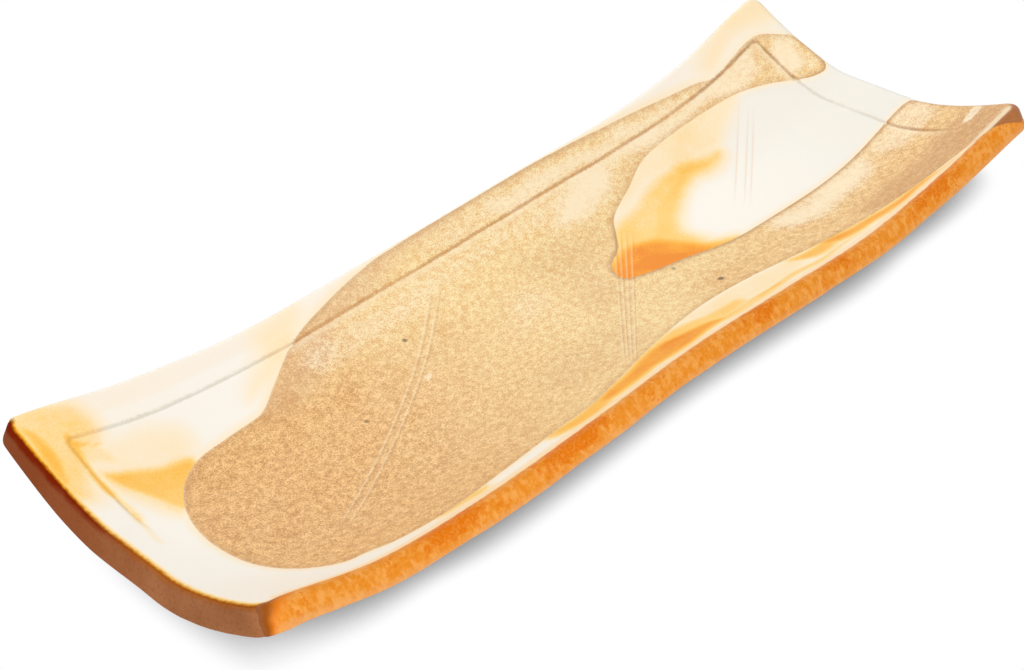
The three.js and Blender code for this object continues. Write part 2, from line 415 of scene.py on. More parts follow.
@dataclass(frozen=True)
class Wash:
    """A soft-edged patch of the face, drawn by the few points round it."""

    strength: float
    soft: float
    corners: Points
    span_steps: int = 4

    def cover(self, x: Array, y: Array) -> Array:
        """The wash at plan points, which fades across the soft width on both sides of its outline.

        Args:
            x: places along the plate.
            y: places across it.

        Returns:
            Strength, 0 away from the wash.
        """
        ring = closed_curve(self.corners, self.span_steps)
        low, high = ring.min(0) - self.soft, ring.max(0) + self.soft
        near = (x > low[0]) & (x < high[0]) & (y > low[1]) & (y < high[1])
        cover = np.zeros(x.shape)
        cover[near] = ease(signed_distance(x[near], y[near], ring), self.soft, -self.soft)
        return self.strength * cover


def blot(washes: tuple[Wash, ...], x: Array, y: Array) -> Array:
    """The strongest of several washes at each point, with hand-made, wandering edges.

    Args:
        washes: the soft patches.
        x: places along the plate.
        y: places across it.

    Returns:
        Strength, 0 where there is no wash.
    """
    # Two slow waves each way, under a millimetre high, keep any outline from looking drawn
    wander_x = x + 0.9 * np.sin(y / 5.3 + 0.7) + 0.7 * np.sin(x / 7.1 + y / 11.0)
    wander_y = y + 0.7 * np.sin(x / 6.1 + 1.9) + 0.5 * np.sin(x / 3.7 - y / 8.0)
    cover = np.zeros(x.shape)
    for wash in washes:
        cover = np.maximum(cover, wash.cover(wander_x, wander_y))
    return cover


@dataclass
class Region:
    """A patch of the unrolled face, cut out of a square grid along the zero line of a field."""

    x: Array
    y: Array
    inner: int
    faces: list[tuple[int, ...]]


def cut_region(xs: Array, ys: Array, value: Array) -> Region:
    """Keeps the part of a grid where a field is below 0, with a smooth outline.

    Args:
        xs: the grid's places along the plate.
        ys: its places across.
        value: the field, one row for each place across.

    Returns:
        Plan points, those inside first and those on the outline after them, and faces.
    """
    keep = value < 0
    index = np.full(keep.shape, -1)
    index[keep] = np.arange(keep.sum())
    grid_x, grid_y = np.meshgrid(xs, ys)
    plan_x, plan_y = [grid_x[keep]], [grid_y[keep]]
    inner = count = int(keep.sum())

    def crossings(first: tuple[slice, slice], second: tuple[slice, slice]) -> Array:
        """Adds an outline point on each grid edge that the zero line crosses.

        Args:
            first: the part of the grid that holds the edges' first ends.
            second: the part that holds their second ends.

        Returns:
            The new points' numbers, and -1 on edges that aren't crossed.
        """
        nonlocal count
        crossed = keep[first] != keep[second]
        share = value[first] / np.where(crossed, value[first] - value[second], 1)
        share = np.clip(share, CORNER_CLEARANCE, 1 - CORNER_CLEARANCE)[crossed]
        for plan, grid in ((plan_x, grid_x), (plan_y, grid_y)):
            plan.append(grid[first][crossed] * (1 - share) + grid[second][crossed] * share)
        numbers = np.full(crossed.shape, -1)
        numbers[crossed] = count + np.arange(len(share))
        count += len(share)
        return numbers

    every, start, end = slice(None), slice(None, -1), slice(1, None)
    along = crossings((every, start), (every, end))
    across = crossings((start, every), (end, every))
    corners = quads(index)
    sides = np.stack([along[:-1], across[:, 1:], along[1:], across[:, :-1]], -1)
    whole = (corners >= 0).all(-1)
    faces = [tuple(row) for row in corners[whole].tolist()]
    partly = (corners >= 0).any(-1) & ~whole
    for ring, cuts in zip(corners[partly].tolist(), sides[partly].tolist()):
        faces.append(tuple(number for pair in zip(ring, cuts) for number in pair if number >= 0))
    return Region(np.concatenate(plan_x), np.concatenate(plan_y), inner, faces)


def make_object(name: str, points: Array, faces: list[tuple[int, ...]],
                marks: dict[str, Array]) -> bpy.types.Object:
    """Makes a smooth mesh object.

    Args:
        name: the piece's name.
        points: corners in millimetres, one row each.
        faces: corner numbers of each face.
        marks: named numbers, one for each corner, for the material to read.

    Returns:
        The new object, in the scene.
    """
    mesh = bpy.data.meshes.new(name)
    mesh.from_pydata((points * MM).tolist(), [], faces)
    for mark, values in marks.items():
        layer = mesh.attributes.new(mark, "FLOAT", "POINT")
        layer.data.foreach_set("value", np.asarray(values, np.float32))
    mesh.shade_smooth()
    mesh.set_sharp_from_angle(angle=math.radians(CREASE_DEGREES))
    mesh.validate()
    piece = bpy.data.objects.new(name, mesh)
    bpy.context.scene.collection.objects.link(piece)
    return piece


class Step(Enum):
    """What is done with numbers and colours on the way to a finish, and the node that does it."""

    PLUS = ("ShaderNodeMath", {"operation": "ADD"})
    MINUS = ("ShaderNodeMath", {"operation": "SUBTRACT"})
    TIMES = ("ShaderNodeMath", {"operation": "MULTIPLY"})
    TIMES_PLUS = ("ShaderNodeMath", {"operation": "MULTIPLY_ADD"})
    OVER = ("ShaderNodeMath", {"operation": "DIVIDE"})
    MOST = ("ShaderNodeMath", {"operation": "MAXIMUM"})
    LEAST = ("ShaderNodeMath", {"operation": "MINIMUM"})
    ABOVE = ("ShaderNodeMath", {"operation": "GREATER_THAN"})
    SIZE = ("ShaderNodeMath", {"operation": "ABSOLUTE"})
    # One range of values becomes another, eased and held at both ends
    SPAN = ("ShaderNodeMapRange", {"interpolation_type": "SMOOTHSTEP"})
    # A share mixes two colours, on the mix node's colour sockets
    MIX = ("ShaderNodeMix", {"data_type": "RGBA"}, (0, 6, 7), 2)

    def __init__(self, kind: str, settings: dict[str, str], inputs: tuple[int, ...] = (0, 1, 2, 3, 4),
                 output: int = 0) -> None:
        """Keeps what the step's node needs.

        Args:
            kind: the node's type.
            settings: the node's own properties.
            inputs: the numbers of the inputs that the values go to, in turn.
            output: the number of the output that holds the result.
        """
        self.kind, self.settings, self.inputs, self.output = kind, settings, inputs, output


class Tree:
    """The node tree of a material or of the world, with the few steps that every finish here repeats."""

    def __init__(self, owner: bpy.types.Material | bpy.types.World) -> None:
        """Takes the owner's node tree and empties it.

        Args:
            owner: the material or the world.
        """
        owner.use_nodes = True
        self.owner = owner
        self.nodes = owner.node_tree
        self.nodes.nodes.clear()

    def add(self, kind: str, inputs: dict[str | int, object] | None = None,
            stops: tuple[tuple[float, str], ...] = (), **settings: object) -> bpy.types.Node:
        """Adds a node with its settings and links.

        Args:
            kind: the node's type.
            inputs: a value or another node's output for each named or numbered input.
            stops: places and hex colours of a colour ramp.
            settings: the node's own properties.

        Returns:
            The new node.
        """
        node = self.nodes.nodes.new(kind)
        for key, value in settings.items():
            setattr(node, key, value)
        for key, value in (inputs or {}).items():
            if isinstance(value, Link):
                self.nodes.links.new(value, node.inputs[key])
            else:
                node.inputs[key].default_value = value
        for number, (place, colour) in enumerate(stops):
            ramp = node.color_ramp.elements
            stop = ramp[number] if number < len(ramp) else ramp.new(place)
            stop.position, stop.color = place, linear(colour)
        return node

    def do(self, step: Step, *values: Link | float | str) -> Link:
        """Adds the node of one step.

        Args:
            step: what is done.
            values: links, numbers or hex colours, in the order of the step's inputs.

        Returns:
            The step's result.
        """
        ready = [linear(value) if isinstance(value, str) else value for value in values]
        return self.add(step.kind, dict(zip(step.inputs, ready)), **step.settings).outputs[step.output]

    @cached_property
    def place(self) -> Link:
        """Where the surface lies, in metres in the row frame."""
        return self.add("ShaderNodeTexCoord").outputs["Object"]

    def looked_at(self) -> Link:
        """1 where the background itself is seen, also mirrored or through glass, else 0."""
        ways = self.add("ShaderNodeLightPath").outputs
        shiny = self.do(Step.MOST, ways["Is Glossy Ray"], ways["Is Transmission Ray"])
        return self.do(Step.MOST, ways["Is Camera Ray"], shiny)

    def marks(self, *names: str) -> dict[str, Link]:
        """The numbers that the mesh carries at each corner, by their names."""
        return {name: self.add("ShaderNodeAttribute", attribute_name=name).outputs["Fac"] for name in names}

    def grain(self, size_mm: float, detail: float = 3.0, drawn: float = 1.0) -> Link:
        """Noise with grains of a real size, from 0 to 1.

        Args:
            size_mm: how wide a grain is.
            detail: how many finer layers it has.
            drawn: how many times taller than wide a grain is, where glaze ran down.

        Returns:
            The noise.
        """
        long = self.add("ShaderNodeMapping", {"Vector": self.place, "Scale": (1, 1, 1 / drawn)}).outputs[0]
        inputs = {"Vector": long, "Scale": 1 / (size_mm * MM), "Detail": detail,
                  "Roughness": NOISE_ROUGHNESS}
        return self.add("ShaderNodeTexNoise", inputs).outputs["Fac"]

    def sway(self, width: float, *grain: float) -> Link:
        """Noise that swings evenly about 0, this wide from end to end, with grains as for grain."""
        return self.do(Step.TIMES_PLUS, self.grain(*grain), width, -width / 2)

    def layers(self, colour: Link | str, *coats: tuple[Link, Link | str]) -> Link:
        """Lays colours over a first one, each where its own share is high.

        Args:
            colour: the first colour.
            coats: a share and a colour for each layer, from the lowest up.

        Returns:
            The colour that shows.
        """
        for share, coat in coats:
            colour = self.do(Step.MIX, share, colour, coat)
        return colour

    def flat_place(self) -> list[Link]:
        """The surface's places along and across the plate, in millimetres."""
        scaled = self.add("ShaderNodeVectorMath", {0: self.place, "Scale": 1 / MM}, operation="SCALE")
        return self.add("ShaderNodeSeparateXYZ", {0: scaled.outputs[0]}).outputs[:2]

    def frame_line(self, lines: PressedLines) -> tuple[Link, Link]:
        """The pressed frame line, drawn finer than the mesh can hold it.

        Args:
            lines: the line's place and size.

        Returns:
            The dark furrow and the pale band inside it, each from 0 to 1.
        """
        x, y = self.flat_place()
        into_x = self.do(Step.MINUS, self.do(Step.SIZE, x), lines.bend_centre[0])
        into_y = self.do(Step.MINUS, y, lines.bend_centre[1])
        outside = {0: self.do(Step.MOST, into_x, 0.0), 1: self.do(Step.MOST, into_y, 0.0)}
        outer = self.add("ShaderNodeCombineXYZ", outside).outputs[0]
        bend = self.add("ShaderNodeVectorMath", {0: outer}, operation="LENGTH").outputs["Value"]
        inner = self.do(Step.LEAST, self.do(Step.MOST, into_x, into_y), 0.0)
        reach = self.do(Step.MINUS, self.do(Step.PLUS, bend, inner), lines.corner)
        # A slow bend and a fine waver, since the line was pressed by hand
        wavy = self.do(Step.PLUS, self.do(Step.PLUS, reach, self.sway(0.9, 30, 2)), self.sway(1.0, 1.1, 2))
        foot = self.do(Step.TIMES_PLUS, self.do(Step.ABOVE, x, 0.0),
                       lines.right_foot - lines.left_foot, lines.left_foot)
        pressure = self.do(Step.SPAN, self.grain(14, 2), 0.3, 0.6, 0.6, 1.0)
        faded = self.do(Step.SPAN, self.do(Step.MINUS, y, foot), 0, lines.fade)
        press = self.do(Step.TIMES, faded, pressure)
        core = self.do(Step.SPAN, self.do(Step.SIZE, wavy), lines.line_width * 0.56, lines.line_width * 0.06)
        band = self.do(Step.TIMES, self.do(Step.SPAN, wavy, -4.2, -1.6),
                       self.do(Step.SPAN, wavy, -0.5, -1.2))
        return self.do(Step.TIMES, core, press), self.do(Step.TIMES, band, press)

    def furrows(self, stroke: CombStroke) -> tuple[Link, Link]:
        """One comb stroke, drawn finer than the mesh can hold it.

        Args:
            stroke: the comb stroke.

        Returns:
            The furrows and the ridges beside them, each from 0 to 1.
        """
        along = {"Vector": self.place, "Location": (stroke.start[0] * MM, stroke.start[1] * MM, 0),
                 "Rotation": (0, 0, stroke.heading), "Scale": (stroke.length * MM, MM, 1)}
        turned = self.add("ShaderNodeMapping", along, vector_type="TEXTURE").outputs[0]
        share, side = self.add("ShaderNodeSeparateXYZ", {0: turned}).outputs[:2]
        arch = self.do(Step.TIMES, share, self.do(Step.MINUS, 1.0, share))
        bowed = self.do(Step.TIMES_PLUS, arch, -4 * stroke.bow, side)
        spread = self.do(Step.TIMES_PLUS, share, 1 - stroke.flare, stroke.flare)
        offset = self.do(Step.OVER, bowed, spread)
        ends = self.do(Step.TIMES, self.do(Step.SPAN, share, 0, stroke.fade),
                       self.do(Step.SPAN, share, 1, 1 - stroke.fade))
        found = []
        for shift in (0.0, 1.5 * stroke.half_width):
            cover = 0.0
            for tine in stroke.tines:
                away = self.do(Step.SIZE, self.do(Step.MINUS, offset, tine + shift))
                cover = self.do(Step.MOST, cover, self.do(Step.SPAN, away, stroke.half_width, 0))
            found.append(self.do(Step.TIMES, cover, ends))
        return found[0], found[1]

    def combed(self, lines: PressedLines) -> tuple[Link, Link]:
        """All the comb strokes.

        Args:
            lines: what was combed into the face.

        Returns:
            Their furrows and their ridges, each from 0 to 1.
        """
        furrow, ridge = self.furrows(lines.strokes[0])
        for stroke in lines.strokes[1:]:
            more = self.furrows(stroke)
            furrow, ridge = self.do(Step.MOST, furrow, more[0]), self.do(Step.MOST, ridge, more[1])
        return furrow, ridge

    def finish(self, colour: Link, roughness: Link | float, bump: Link, rise_mm: float, ior: float,
               shine: Link | float) -> bpy.types.Material:
        """Ends the tree in one shader with a bump of a real height.

        Args:
            colour: the base colour.
            roughness: the shader's roughness.
            bump: the surface's unevenness, from 0 to 1.
            rise_mm: its height.
            ior: index of refraction.
            shine: the shader's specular level.

        Returns:
            The finished material.
        """
        height = {"Height": bump, "Strength": 1.0, "Distance": rise_mm * MM}
        relief = self.add("ShaderNodeBump", height).outputs[0]
        inputs = {"Base Color": colour, "Roughness": roughness, "IOR": ior, "Specular IOR Level": shine,
                  "Normal": relief}
        shader = self.add("ShaderNodeBsdfPrincipled", inputs)
        self.add("ShaderNodeOutputMaterial", {"Surface": shader.outputs[0]})
        return self.owner


@dataclass(frozen=True)
class CreamGlaze:
    """Feldspar glaze, poured on thick: glossy and cream-white, with an orange flush where it is thin."""

    # Painted shade: a greyer cream laid over the right end
    heavy: str = "#edeae1"
    thick: str = "#f9f4ea"
    thin: str = "#fde9c4"
    flush: str = "#fdd37d"
    flame: str = "#fcba42"
    glow: str = "#f8a31e"
    ember: str = "#f08b0c"
    pooled: str = "#d2cbb9"
    scorched: str = "#e0a552"
    toasted: str = "#a8692e"
    # Painted highlight: the warm cream along the top of the long rims
    rim: str = "#fddcab"
    rust: str = "#a9560a"
    burnt: str = "#741c00"
    roughness: float = 0.34
    ior: float = 1.5
    shine: float = 0.13
    ripple_mm: float = 5.0
    ripple_rise: float = 0.03

    def material(self, lines: PressedLines) -> bpy.types.Material:
        """Builds the glaze: the mesh's flush mark gives the colour, noise breaks its edges.

        Args:
            lines: the pressed and combed lines that show through it.

        Returns:
            The finished material.
        """
        tree = Tree(bpy.data.materials.new("cream_white_feldspar_glaze"))
        mark = tree.marks("flush", "past", "toast", "heavy", "lip", "end", "scorch")
        flush = mark["flush"]
        # Clouds and flecks break up the flush and hardly touch the plain white
        broken = tree.do(Step.PLUS, tree.sway(0.36, 16, 4), tree.sway(0.28, 0.8, 4))
        ragged = tree.do(Step.TIMES, broken, tree.do(Step.SPAN, flush, 0.02, 0.4, 0.06, 1.0))
        # Along the left end the coat thins over the arris, so it warms there too
        past = tree.do(Step.PLUS, mark["past"], tree.sway(1.0, 1.8, 3))
        toast = tree.do(Step.TIMES, tree.do(Step.SPAN, past, -2.4, 0.3), mark["toast"])
        warmth = tree.do(Step.MOST, tree.do(Step.PLUS, flush, ragged), toast)
        stops = ((0.0, self.thick), (0.3, self.thin), (0.55, self.flush), (0.78, self.flame),
                 (0.92, self.glow), (1.0, self.ember))
        body = tree.add("ShaderNodeValToRGB", {0: warmth}, stops).outputs["Color"]
        # Glaze pools grey in the frame line, orange in the flush and brown in the far corner
        core, _ = tree.frame_line(lines)
        x, y = tree.flat_place()
        far = tree.do(Step.TIMES, tree.do(Step.SPAN, x, 70, 100), tree.do(Step.SPAN, y, 40, 47))
        warm = tree.do(Step.SPAN, flush, 0.12, 0.4)
        pressed = tree.layers(self.pooled, (warm, self.scorched), (far, self.toasted))
        furrow, ridge = tree.combed(lines)
        furrowed = tree.do(Step.MIX, tree.do(Step.SPAN, flush, 0.4, 0.8), self.scorched, self.ember)
        end = tree.do(Step.TIMES, tree.do(Step.SPAN, past, -0.7, 0.6), mark["end"])
        colour = tree.layers(
            body,
            # Painted shade: greyer cream over the right end
            (mark["heavy"], self.heavy),
            (tree.do(Step.TIMES, core, tree.do(Step.SPAN, far, 0, 1, 0.62, 0.8)), pressed),
            # The comb's furrows are darker and, in the flush, its ridges paler
            (tree.do(Step.TIMES, furrow, tree.do(Step.SPAN, flush, 0, 1, 0.24, 0.5)), furrowed),
            (tree.do(Step.TIMES, ridge, tree.do(Step.SPAN, flush, 0, 1, 0.0, 0.3)), self.thin),
            # A painted highlight lays a warmer cream along the long rims, and the left end burns to rust
            # where the coat stops
            (tree.do(Step.TIMES, tree.do(Step.SPAN, past, -6.5, -4.0), mark["lip"]), self.rim),
            (end, tree.do(Step.MIX, mark["scorch"], self.rust, self.burnt)),
        )
        shine = tree.do(Step.SPAN, tree.do(Step.MOST, end, toast), 0, 0.4, self.shine, 0.0)
        ripple = tree.grain(self.ripple_mm, 2)
        return tree.finish(colour, self.roughness, ripple, self.ripple_rise, self.ior, shine)


@dataclass(frozen=True)
class TanGlaze:
    """Ash and ochre glaze over the cream: satin, pale and dark grains, a brown line where it ends."""

    dark_grain: str = "#c88d54"
    pale_grain: str = "#fdd292"
    # Painted sheen: paler copies of the two grains, where the soft light shines on the satin glaze
    sheened_dark_grain: str = "#eabb7b"
    sheened_pale_grain: str = "#ffedb8"
    blush: str = "#cc9662"
    rosy: str = "#d6a88a"
    # Cream: thin glaze, and also the painted sheen and the painted rim highlight
    thin: str = "#fdebc9"
    outline: str = "#ba8554"
    furrow: str = "#b8773c"
    burnt_furrow: str = "#95561a"
    rim: str = "#a5602f"
    iron: str = "#4b3a2c"
    roughness: float = 0.42
    ior: float = 1.5
    shine: float = 0.12
    grit_rise: float = 0.12
    specks: tuple[tuple[float, float, float, float], ...] = (
        (-45.2, 31.8, 0.95, 0.7), (-82.0, 10.0, 0.9, 0.6), (49.6, -7.9, 0.95, 0.5), (54.4, -26.2, 1.3, 0.8))

    def iron_specks(self, tree: Tree) -> list[tuple[Link, str]]:
        """The few specks of iron that melted into the glaze, ragged and dark.

        Args:
            tree: the glaze's node tree.

        Returns:
            The layers to lay on, one for each speck.
        """
        flat = tree.add("ShaderNodeMapping", {"Vector": tree.place, "Scale": (1, 1, 0)}).outputs[0]
        waver = tree.grain(1.1, 2)
        layers = []
        for x, y, radius, strength in self.specks:
            centre = (x * MM, y * MM, 0)
            away = tree.add("ShaderNodeVectorMath", {0: flat, 1: centre}, operation="DISTANCE")
            ragged = tree.do(Step.TIMES_PLUS, waver, radius * MM, away.outputs["Value"])
            cover = tree.do(Step.SPAN, ragged, radius * 1.9 * MM, radius * 0.9 * MM, 0, strength)
            layers.append((cover, self.iron))
        return layers

    def material(self, lines: PressedLines) -> bpy.types.Material:
        """Builds the glaze: pale and dark grains, pinker and then brown towards the pour's outline.

        Args:
            lines: the pressed and combed lines that show through it.

        Returns:
            The finished material.
        """
        tree = Tree(bpy.data.materials.new("tan_ash_glaze"))
        mark = tree.marks("light", "edge", "deep", "pale", "bound", "feather", "worn", "lip")
        x, y = tree.flat_place()
        # Pale ash grains in a darker melt, both paler where the light mark paints a sheen, towards the right
        # and the back
        cloud = tree.sway(0.5, 14, 4)
        light = tree.do(Step.SPAN, tree.do(Step.PLUS, mark["light"], cloud), 0.0, 1.0)
        fine = tree.do(Step.TIMES, tree.grain(0.5, 4), 0.65)
        grit = tree.do(Step.SPAN, tree.do(Step.TIMES_PLUS, tree.grain(2.4, 4), 0.35, fine), 0.37, 0.63)
        body = tree.do(Step.MIX, grit, tree.do(Step.MIX, light, self.dark_grain, self.sheened_dark_grain),
                       tree.do(Step.MIX, light, self.pale_grain, self.sheened_pale_grain))
        edge = mark["edge"]
        inside = tree.do(Step.PLUS, edge, tree.do(Step.TIMES, cloud, 6.0))
        near = tree.do(Step.MOST, tree.do(Step.SPAN, inside, 5, 0.5, 0, 0.34),
                       tree.do(Step.PLUS, mark["deep"], cloud))
        mottle = tree.do(Step.TIMES_PLUS, grit, 0.5, -0.25)
        pale = tree.do(Step.PLUS, tree.do(Step.PLUS, mark["pale"], cloud), mottle)
        core, band = tree.frame_line(lines)
        furrow, ridge = tree.combed(lines)
        fringe = tree.do(Step.PLUS, edge, tree.sway(2.0, 1.1, 4))
        colour = tree.layers(
            body,
            # It blushes near its outline and where it is deep, and goes cream over the pale patches, partly
            # thin glaze and partly painted sheen
            (tree.do(Step.TIMES, near, tree.do(Step.SPAN, grit, 0, 1, 1.0, 0.55)),
             tree.do(Step.MIX, tree.do(Step.SPAN, y, 30, 50), self.blush, self.rosy)),
            (tree.do(Step.SPAN, pale, 0.1, 1.1, 0, 0.95), self.thin),
            # The frame line and the comb lines show through as brown furrows beside pale bands
            (tree.do(Step.TIMES, band, 0.45), self.thin),
            (tree.do(Step.TIMES, core, 0.62),
             tree.do(Step.MIX, tree.do(Step.SPAN, x, 120, 150), self.furrow, self.burnt_furrow)),
            (tree.do(Step.TIMES, furrow, 0.25), self.outline),
            (tree.do(Step.TIMES, ridge, 0.38), self.thin),
            # A brown line bounds the pour, feathered at its left, its rims are worn brown, and a painted
            # highlight runs cream along its front rim
            (tree.do(Step.TIMES, tree.do(Step.SPAN, fringe, 2.6, 0.3), mark["bound"]), self.outline),
            (tree.do(Step.TIMES, tree.do(Step.SPAN, fringe, 1.0, 0.0), mark["feather"]), self.thin),
            (mark["worn"], self.rim),
            (mark["lip"], self.thin),
            *self.iron_specks(tree),
        )
        rough = tree.do(Step.SPAN, tree.grain(1.2, 3), 0.3, 0.7, self.roughness - 0.08, self.roughness + 0.1)
        combed = tree.do(Step.TIMES, tree.do(Step.MINUS, ridge, furrow), 0.3)
        height = tree.do(Step.PLUS, tree.do(Step.TIMES, grit, 0.3), combed)
        return tree.finish(colour, rough, height, self.grit_rise, self.ior, self.shine)


@dataclass(frozen=True)
class AmberGlaze:
    """The thin run of glaze down a cut edge: glossy and orange, a painted cream highlight on the arris,
    mottled lower down.
    """

    # Painted highlight: the cream on the top arris
    arris: str = "#fee3b8"
    body: str = "#e1861c"
    pale: str = "#eca24e"
    deep: str = "#dc7200"
    foot: str = "#e0a46a"
    scorched: str = "#86430c"
    clay: str = "#9c5e36"
    roughness: float = 0.46
    ior: float = 1.5
    shine: float = 0.09
    ripple_mm: float = 3.0
    ripple_rise: float = 0.05

    def material(self) -> bpy.types.Material:
        """Builds the glaze from how far down the edge it has run.

        Returns:
            The finished material.
        """
        tree = Tree(bpy.data.materials.new("amber_edge_glaze"))
        mark = tree.marks("deep", "past", "tip")
        rich = tree.do(Step.PLUS, mark["deep"], tree.sway(2.0, 3, 5, 1.6))
        spots = tree.do(Step.TIMES, tree.do(Step.SPAN, tree.grain(1.5, 4, 1.5), 0.54, 0.66, 0, 0.75),
                        tree.do(Step.SPAN, tree.grain(9, 2), 0.38, 0.6))
        drop = tree.do(Step.PLUS, mark["past"], tree.sway(1.8, 3, 4))
        end = mark["tip"]
        colour = tree.layers(
            self.body,
            # Runs and flecks of pale and deep amber
            (tree.do(Step.SPAN, tree.grain(2.6, 5, 2.2), 0.42, 0.62, 0, 0.85), self.pale),
            (tree.do(Step.SPAN, rich, 0.2, 0.65), self.deep),
            (tree.do(Step.SPAN, tree.grain(0.9, 4), 0.42, 0.68, 0, 0.4), self.pale),
            (spots, self.deep),
            # It thins to pale at its foot, scorches towards the corners, and a painted highlight keeps it
            # cream on the arris
            (tree.do(Step.SPAN, drop, 6.5, 9.5, 0, 0.55), self.foot),
            (tree.do(Step.SPAN, end, 0.0, 0.5, 0, 0.7), self.deep),
            (tree.do(Step.SPAN, end, 0.35, 0.85, 0, 0.85), self.scorched),
            (tree.do(Step.SPAN, end, 0.85, 1.0, 0, 0.8), self.clay),
            (tree.do(Step.SPAN, drop, -0.6, -2.4), self.arris),
        )
        ripple = tree.grain(self.ripple_mm, 3)
        return tree.finish(colour, self.roughness, ripple, self.ripple_rise, self.ior, self.shine)


@dataclass(frozen=True)
class BareClay:
    """Iron-bearing stoneware clay, fired bare: matte brown, gritty, burnt darker beside the glaze."""

    body: str = "#a4673f"
    light: str = "#b0744b"
    dark: str = "#824a25"
    burnt: str = "#7a1e00"
    toasted: str = "#a45609"
    flash: str = "#8a3c16"
    roughness: float = 0.8
    ior: float = 1.5
    shine: float = 0.05
    grit_mm: float = 0.9
    grit_rise: float = 0.12

    def material(self) -> bpy.types.Material:
        """Builds the clay: fine grit over cloudy brown, with a burnt line below the top arris.

        Returns:
            The finished material.
        """
        tree = Tree(bpy.data.materials.new("bare_stoneware_clay"))
        mark = tree.marks("burnt", "past", "band")
        scorch = mark["burnt"]
        under = tree.do(Step.MINUS, tree.do(Step.PLUS, mark["past"], tree.sway(3.2, 5, 4)), mark["band"])
        colour = tree.layers(
            self.body,
            (tree.do(Step.SPAN, tree.grain(18, 4), 0.35, 0.65), self.light),
            (tree.do(Step.SPAN, tree.grain(self.grit_mm, 3), 0.52, 0.68, 0, 0.4), self.dark),
            (scorch, self.flash),
            (tree.do(Step.SPAN, under, 1.9, -1.2),
             tree.do(Step.MIX, tree.do(Step.SPAN, scorch, 0.1, 0.5), self.toasted, self.burnt)),
        )
        bump = tree.grain(self.grit_mm, 4)
        return tree.finish(colour, self.roughness, bump, self.grit_rise, self.ior, self.shine)


class Edge(Enum):
    """The two long cut edges, by the side of the plate they are on."""

    FRONT = -1
    BACK = 1


@dataclass
class GlazeSheet:
    """A closed coat that lies on the slab and thins to nothing along its outline."""

    form: PlateForm
    lines: PressedLines
    step: float
    seat: float
    coat: float
    roll: float

    def sheet(self, name: str, xs: Array, ys: Array, outline: Callable[[Array, Array], Array],
              marks: Callable[[Array, Array, Array], dict[str, Array]]) -> bpy.types.Object:
        """Builds the coat inside an outline.

        Args:
            name: the piece's name.
            xs: the grid's places along the plate.
            ys: its places across.
            outline: distance from the outline at plan points, below 0 inside.
            marks: numbers for the material, from plan points and that distance.

        Returns:
            The coat as a mesh object.
        """
        region = cut_region(xs, ys, outline(*np.meshgrid(xs, ys)))
        away = outline(region.x, region.y)
        away[region.inner:] = 0
        into = np.clip(-away / self.roll, 0, 1)
        lift = self.seat + self.coat * into * (2 - into)
        pressed = self.lines.relief(region.x, region.y)
        upper = self.form.skin(region.x, region.y, lift - pressed)
        lower = self.form.skin(region.x[:region.inner], region.y[:region.inner],
                               self.seat - pressed[:region.inner])
        count = len(region.x)
        under = np.concatenate([count + np.arange(region.inner), np.arange(region.inner, count)])
        faces = region.faces + [tuple(under[number] for number in reversed(loop)) for loop in region.faces]
        values = marks(region.x, region.y, away)
        doubled = {key: np.concatenate([mark, mark[:region.inner]]) for key, mark in values.items()}
        return make_object(name, np.concatenate([upper, lower]), faces, doubled)


